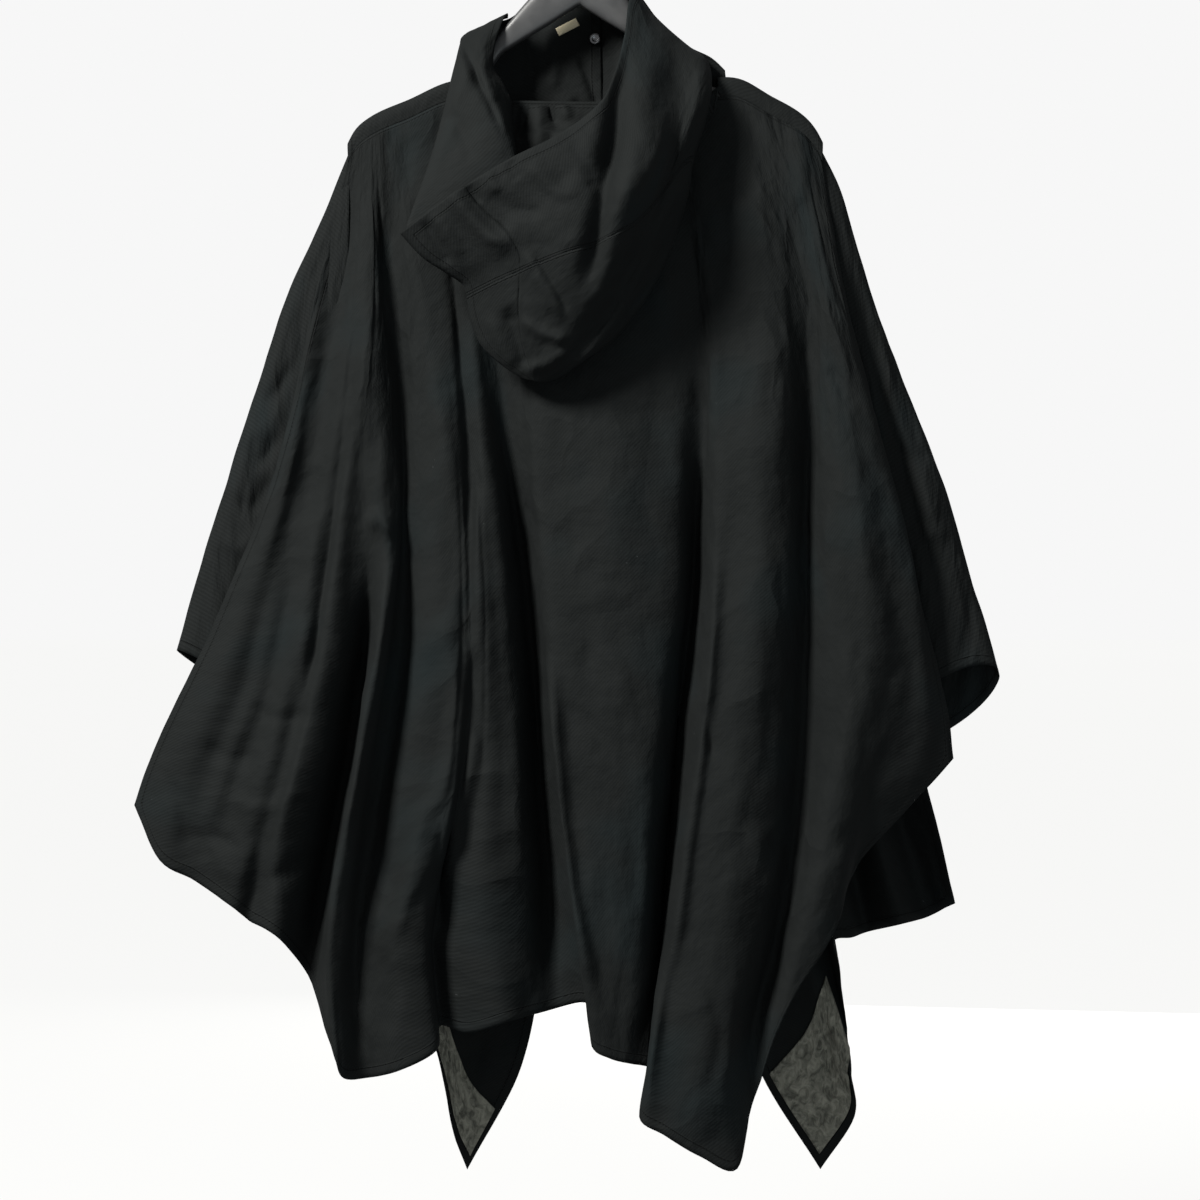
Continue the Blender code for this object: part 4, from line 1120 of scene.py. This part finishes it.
def collar(top, front_shape, seed, end_reach=0.0, lap=0.0, across_cells=84, down_cells=42):
    u = np.linspace(0, 1, across_cells + 1)
    v = np.linspace(0, 1, down_cells + 1)[None, :, None]
    top_points = edge_at(top, u)[:, None]
    along_shoulder = ease((u - 0.82) / 0.18)[:, None] * np.array((end_reach, 0, 1.5))
    bottom_points = (edge_at(neckline(front_shape), u) + COLLAR_SEAM_LAP + along_shoulder)[:, None]
    fall = np.concatenate([v, v**0.4, v], axis=2)
    grid = (1 - fall) * top_points + fall * bottom_points
    grid = crease(grid, COLLAR_CREASES)
    grid[..., 1] += lap * ease(1 - u / 0.12)[:, None]
    middle = (np.sin(math.pi * u)[:, None] * np.sin(math.pi * v[0, :, 0])[None]) ** 0.5
    return loosen(grid, seed, 24.0, 40.0, 1.2, middle)


collar_left_shape = collar(COLLAR_LEFT_TOP, front_left_shape, 52.0, lap=2.0)
collar_left = cloth_piece(
    "collar_left_cloth", collar_left_shape, black_cotton, hems=("first", "top"), seams=("hem",)
)
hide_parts("collar_left")
collar_right_shape = collar(COLLAR_RIGHT_TOP, front_right_shape, 57.0, end_reach=12.0)
collar_right = cloth_piece(
    "collar_right_cloth", collar_right_shape, black_cotton, hems=("first", "top"), seams=("hem",)
)
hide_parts("collar_right")

# Facings
# The fronts' square corners are faced inside with a thin crumpled olive grey cloth, which stops
# a little short of the black edge all round.
FACING_CLOTH = 0.8
FACING_LIFT = 2.0
CAD_PANEL_ROWS = 14
CAD_FOLD_CELLS = 2


# Olive grey viscose lining, washed thin and crumpled: its many small creases catch the light. Their light
# and shade are also painted into its colour.
def olive_lining_painted_shade():
    material, shader = new_material("olive grey crumpled lining")
    over = add_node(material, "ShaderNodeUVMap", {"uv_map": "cloth"}).outputs["UV"]
    cracks = {"feature": "DISTANCE_TO_EDGE"}
    creased = add_node(material, "ShaderNodeTexVoronoi", cracks, Vector=over, Scale=75.0)
    sharp = remap(material, creased.outputs["Distance"], 0.0, 0.25)
    crumple = noise_on(material, over, 95.0, Detail=5.0, Roughness=0.6, Distortion=1.2)
    # Painted shade and highlight: darker in the crumples' dips and lighter on their crests, on the
    # relief's noise
    tint = tinted(material, crumple, (0.34, "#484942"), (0.66, "#85857a"))
    material.node_tree.links.new(tint, shader.inputs["Base Color"])
    shader.inputs["Roughness"].default_value = 0.85
    shader.inputs["Specular IOR Level"].default_value = 0.3
    broad = relief(material, crumple, 0.9, 0.003)
    fine = relief(material, sharp, 0.5, 0.0015, broad)
    material.node_tree.links.new(fine, shader.inputs["Normal"])
    return material


def facing(front_shape, cad_columns, cad_rows, seed, cells=60):
    """Cloth inside a front's corner, drawn on the front's own points and crumpled."""
    inward = normals_of(front_shape)
    inward *= -np.sign(inward[..., 1:2])
    lifted = front_shape + inward * FACING_LIFT
    last_column, last_row = lifted.shape[0] - 1, lifted.shape[1] - 1
    steps = np.linspace(0, 1, cells + 1)
    columns = last_column - np.interp(steps, (0, 1), cad_columns) * FOLD_CELLS / CAD_FOLD_CELLS
    rows = last_row - np.interp(steps, (0, 1), cad_rows) * PANEL_ROWS / CAD_PANEL_ROWS
    for axis, places in ((0, columns), (1, rows)):
        before = np.clip(places.astype(int), 0, lifted.shape[axis] - 2)
        part = (places - before).reshape([-1 if axis == k else 1 for k in range(3)])
        first = np.take(lifted, before, axis=axis)
        lifted = (1 - part) * first + part * np.take(lifted, before + 1, axis=axis)
    bulge = np.sin(math.pi * steps)
    middle = (bulge[:, None] * bulge[None]) ** 0.4
    for place in np.ndindex(*lifted.shape[:2]):
        spot = Vector(lifted[place] / 11.0) + Vector((0, seed, 0))
        wave = abs(noise.noise(spot)) + 0.5 * abs(noise.noise(2.2 * spot))
        lifted[place][1] -= 3.0 * wave * middle[place]
    return lifted


lining = olive_lining_painted_shade()
facing_left_shape = facing(front_left_shape, (5, 0.25), (0.75, 0.12), 61.0)
facing_left = cloth_piece("facing_left_cloth", facing_left_shape, lining, FACING_CLOTH)
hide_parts("facing_left")
facing_right_shape = facing(front_right_shape, (5, 0.25), (1.2, 0.12), 66.0)
facing_right = cloth_piece("facing_right_cloth", facing_right_shape, lining, FACING_CLOTH)
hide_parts("facing_right")

# Press studs
# Nickel plated caps sit on the right front and the collar. Each is a pressed disc with a raised
# rim and a shallow dish, clamped through the cloth.
STUD_NODES = ("stud_collar", "stud_1", "stud_2", "stud_3", "stud_4")
# A cap's profile, from the middle of its dish round the rim to the middle of its base
STUD_PROFILE = (
    (0.0, 0.55),
    (1.6, 0.60),
    (2.8, 0.95),
    (3.8, 1.25),
    (4.7, 1.15),
    (5.4, 0.5),
    (5.5, -0.3),
    (5.0, -1.25),
    (0.0, -1.25),
)


# Bright nickel plate over pressed brass: smooth, with a faint worn haze
def nickel_plate():
    material, shader = new_material("bright nickel plate")
    over = add_node(material, "ShaderNodeTexCoord")
    haze = noise_on(material, over.outputs["Object"], 700.0, Detail=3.0)
    rough = remap(material, haze, 0.3, 0.7, 0.18, 0.36)
    material.node_tree.links.new(rough, shader.inputs["Roughness"])
    shader.inputs["Base Color"].default_value = linear("#77787a")
    shader.inputs["Metallic"].default_value = 1.0
    return material


def frame_of(node):
    """The middle of a CAD node, and its three directions from the thinnest to the longest."""
    points = [node.matrix_world @ vertex.co for vertex in node.data.vertices]
    spread = np.array([tuple(point) for point in points])
    middle = (spread.max(axis=0) + spread.min(axis=0)) / 2
    _, directions = np.linalg.eigh(np.cov((spread - middle).T))
    return middle, directions


def stud_cap(node_name, material):
    """A dished cap with a rolled rim, turned from its profile and set where the node is."""
    middle, directions = frame_of(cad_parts[node_name])
    out = Vector(directions[:, 0])
    facing_back = node_name == "stud_collar"
    if (out.y > 0) == facing_back:
        out.negate()
    tool = bmesh.new()
    points = [tool.verts.new((radius * MM, 0, height * MM)) for radius, height in STUD_PROFILE]
    edges = [tool.edges.new(pair) for pair in zip(points, points[1:])]
    bmesh.ops.spin(
        tool,
        geom=[*points, *edges],
        cent=(0, 0, 0),
        axis=(0, 0, 1),
        angle=2 * math.pi,
        steps=40,
        use_merge=True,
    )
    bmesh.ops.remove_doubles(tool, verts=tool.verts, dist=0.00001)
    bmesh.ops.recalc_face_normals(tool, faces=tool.faces)
    turn = out.to_track_quat("Z", "Y").to_matrix().to_4x4()
    bmesh.ops.transform(tool, matrix=Matrix.Translation(Vector(middle)) @ turn, verts=tool.verts)
    cap = object_from(tool, f"{node_name}_cap", material)
    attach(cap, "root")
    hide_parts(node_name)


nickel = nickel_plate()
for name in STUD_NODES:
    stud_cap(name, nickel)

# Neck label
# A small blank label of pale woven tape is sewn inside the collar, a little askew. It stands clear
# of the collar's creases.
LABEL_LIFT = 1.5
LABEL_HALF_LENGTH = 11.0
LABEL_HALF_WIDTH = 4.0
LABEL_CURL = 0.25
LABEL_TAPE = 0.5


# Woven polyester tape: fine ribs across, slightly glossy, yellowed cream
def woven_tape():
    material, shader = new_material("cream woven tape")
    over = add_node(material, "ShaderNodeTexCoord").outputs["Object"]
    slanting = {"bands_direction": "DIAGONAL"}
    ribs = add_node(material, "ShaderNodeTexWave", slanting, Vector=over, Scale=420.0, Distortion=0.3)
    tint = tinted(material, ribs.outputs["Fac"], (0.0, "#b8ac8d"), (1.0, "#d6cbb0"))
    material.node_tree.links.new(tint, shader.inputs["Base Color"])
    shader.inputs["Roughness"].default_value = 0.6
    normals = relief(material, ribs.outputs["Fac"], 0.4, 0.0002)
    material.node_tree.links.new(normals, shader.inputs["Normal"])
    return material


def neck_label():
    """The label's tape, on its node's own box, with a slight curl."""
    middle, directions = frame_of(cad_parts["neck_label"])
    long_way, wide_way = Vector(directions[:, 2]), Vector(directions[:, 1])
    out = long_way.cross(wide_way)
    middle = Vector(middle) - Vector((0.0, LABEL_LIFT, 0.0)) * MM
    tool = bmesh.new()
    bmesh.ops.create_grid(tool, x_segments=22, y_segments=8, size=1.0)
    for vertex in tool.verts:
        along, wide = vertex.co.x * LABEL_HALF_LENGTH, vertex.co.y * LABEL_HALF_WIDTH
        curl = LABEL_CURL * (along / LABEL_HALF_LENGTH) ** 2
        vertex.co = middle + (long_way * along + wide_way * wide + out * curl) * MM
    tape = object_from(tool, "neck_label_tape", woven_tape())
    wall = tape.modifiers.new("thickness of the tape", "SOLIDIFY")
    wall.thickness = LABEL_TAPE * MM
    wall.offset = 0.0
    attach(tape, "root")
    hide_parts("neck_label")


neck_label()

# Hanger
# A flat moulded hanger of dark grey plastic with rounded edges holds the coat at its shoulders.
# The hanger's outline: x, z of its top, z of its underside
HANGER_OUTLINE = (
    (-212, -232, -240),
    (-204, -223, -238),
    (-182, -213, -229),
    (-160, -204, -219),
    (-140, -196, -211),
    (-125, -194, -206),
    (-112, -190, -202),
    (-100, -172, -192),
    (-74, -134, -156),
    (-50, -106, -141),
    (-25, -80, -126),
    (0, -66, -110),
    (25, -80, -126),
    (50, -111, -141),
    (74, -140, -158),
    (100, -168, -186),
    (123, -187, -202),
    (140, -191, -206),
    (160, -197, -212),
    (182, -202, -222),
    (208, -218, -238),
    (221, -236, -246),
)

HANGER_HALF_DEPTH = 7.0
HANGER_HALF_WIDTH = 221.0
# How far from its tips the hanger starts to thin
HANGER_TIP = 10.0


# Polypropylene, moulded with a fine matt grain and scuffed unevenly all over
def moulded_plastic():
    material, shader = new_material("dark grey moulded polypropylene")
    over = add_node(material, "ShaderNodeTexCoord").outputs["Object"]
    grain = noise_on(material, over, 1600.0, Detail=2.0)
    scuff = noise_on(material, over, 60.0, Detail=4.0)
    tint = tinted(material, scuff, (0.0, "#2a2b2c"), (1.0, "#3b3c3d"))
    material.node_tree.links.new(tint, shader.inputs["Base Color"])
    rough = remap(material, scuff, 0.3, 0.7, 0.38, 0.55)
    material.node_tree.links.new(rough, shader.inputs["Roughness"])
    material.node_tree.links.new(relief(material, grain, 0.3, 0.0002), shader.inputs["Normal"])
    return material


def hanger_board(corners=28):
    """A ring is swept along the outline and joined to the next one, and the ends are filled."""
    outline = np.array(HANGER_OUTLINE, float)
    x = np.linspace(outline[0, 0], outline[-1, 0], 150)
    top = np.interp(x, outline[:, 0], outline[:, 1])
    base = np.interp(x, outline[:, 0], outline[:, 2])
    turn = np.arange(corners) * 2 * math.pi / corners
    round_y = np.sign(np.cos(turn)) * np.abs(np.cos(turn)) ** 0.6
    round_z = np.sign(np.sin(turn)) * np.abs(np.sin(turn)) ** 0.6
    tool = bmesh.new()
    loops = []
    for place, high, low in zip(x, top, base):
        half = HANGER_HALF_DEPTH * min(1.0, 0.6 + (HANGER_HALF_WIDTH - abs(place)) / HANGER_TIP)
        ring = bmesh.ops.create_circle(tool, segments=corners, radius=1.0)["verts"]
        for vertex, y, z in zip(ring, round_y, round_z):
            vertex.co = Vector((place, y * half, (high + low) / 2 + z * (high - low) / 2)) * MM
        loops.append(ring)
    for first, second in zip(loops, loops[1:]):
        edges = [
            edge
            for ring in (first, second)
            for edge in dict.fromkeys(e for v in ring for e in v.link_edges)
            if all(v in ring for v in edge.verts)
        ]
        bmesh.ops.bridge_loops(tool, edges=edges)
    for ring in (loops[0], loops[-1]):
        bmesh.ops.contextual_create(tool, geom=ring)
    bmesh.ops.recalc_face_normals(tool, faces=tool.faces)
    board = object_from(tool, "hanger_board", moulded_plastic())
    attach(board, "root")
    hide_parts("hanger")
    return board


board = hanger_board()

# Hanger hook
# The hook is a bent steel wire with a rounded end, screwed into the hanger's middle.
HOOK_WIRE = 4.4
HOOK_LOOP_RADIUS = 22.2
HOOK_STEM = ((0.0, -65.6), (0.0, -56.0), (2.5, -48.0), (8.0, -42.5))

hook_curve = bpy.data.curves.new("hook", "CURVE")
hook_curve.dimensions = "3D"
hook_curve.bevel_depth = HOOK_WIRE / 2 * MM
hook_curve.bevel_resolution = 6
hook_curve.use_fill_caps = True
loop_turns = np.radians(np.linspace(-55, 205, 64))
loop_middle = HOOK_WIRE / 2 - HOOK_LOOP_RADIUS
hook_line = [*HOOK_STEM]
for turn in loop_turns:
    hook_line.append((HOOK_LOOP_RADIUS * math.cos(turn), loop_middle + HOOK_LOOP_RADIUS * math.sin(turn)))
spline = hook_curve.splines.new("POLY")
spline.points.add(len(hook_line) - 1)
for point, (x, z) in zip(spline.points, hook_line):
    point.co = (x * MM, 0.0, z * MM, 1.0)
wire = bpy.data.objects.new("hook_wire", hook_curve)
bpy.context.scene.collection.objects.link(wire)
hook_mesh = bpy.data.meshes.new_from_object(wire.evaluated_get(bpy.context.evaluated_depsgraph_get()))
bpy.data.objects.remove(wire)
hook_mesh.materials.clear()
hook_mesh.materials.append(nickel)
hook_mesh.shade_smooth()
hook = bpy.data.objects.new("hanger_hook_wire", hook_mesh)
bpy.context.scene.collection.objects.link(hook)
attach(hook, "root")
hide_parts("hanger_hook")
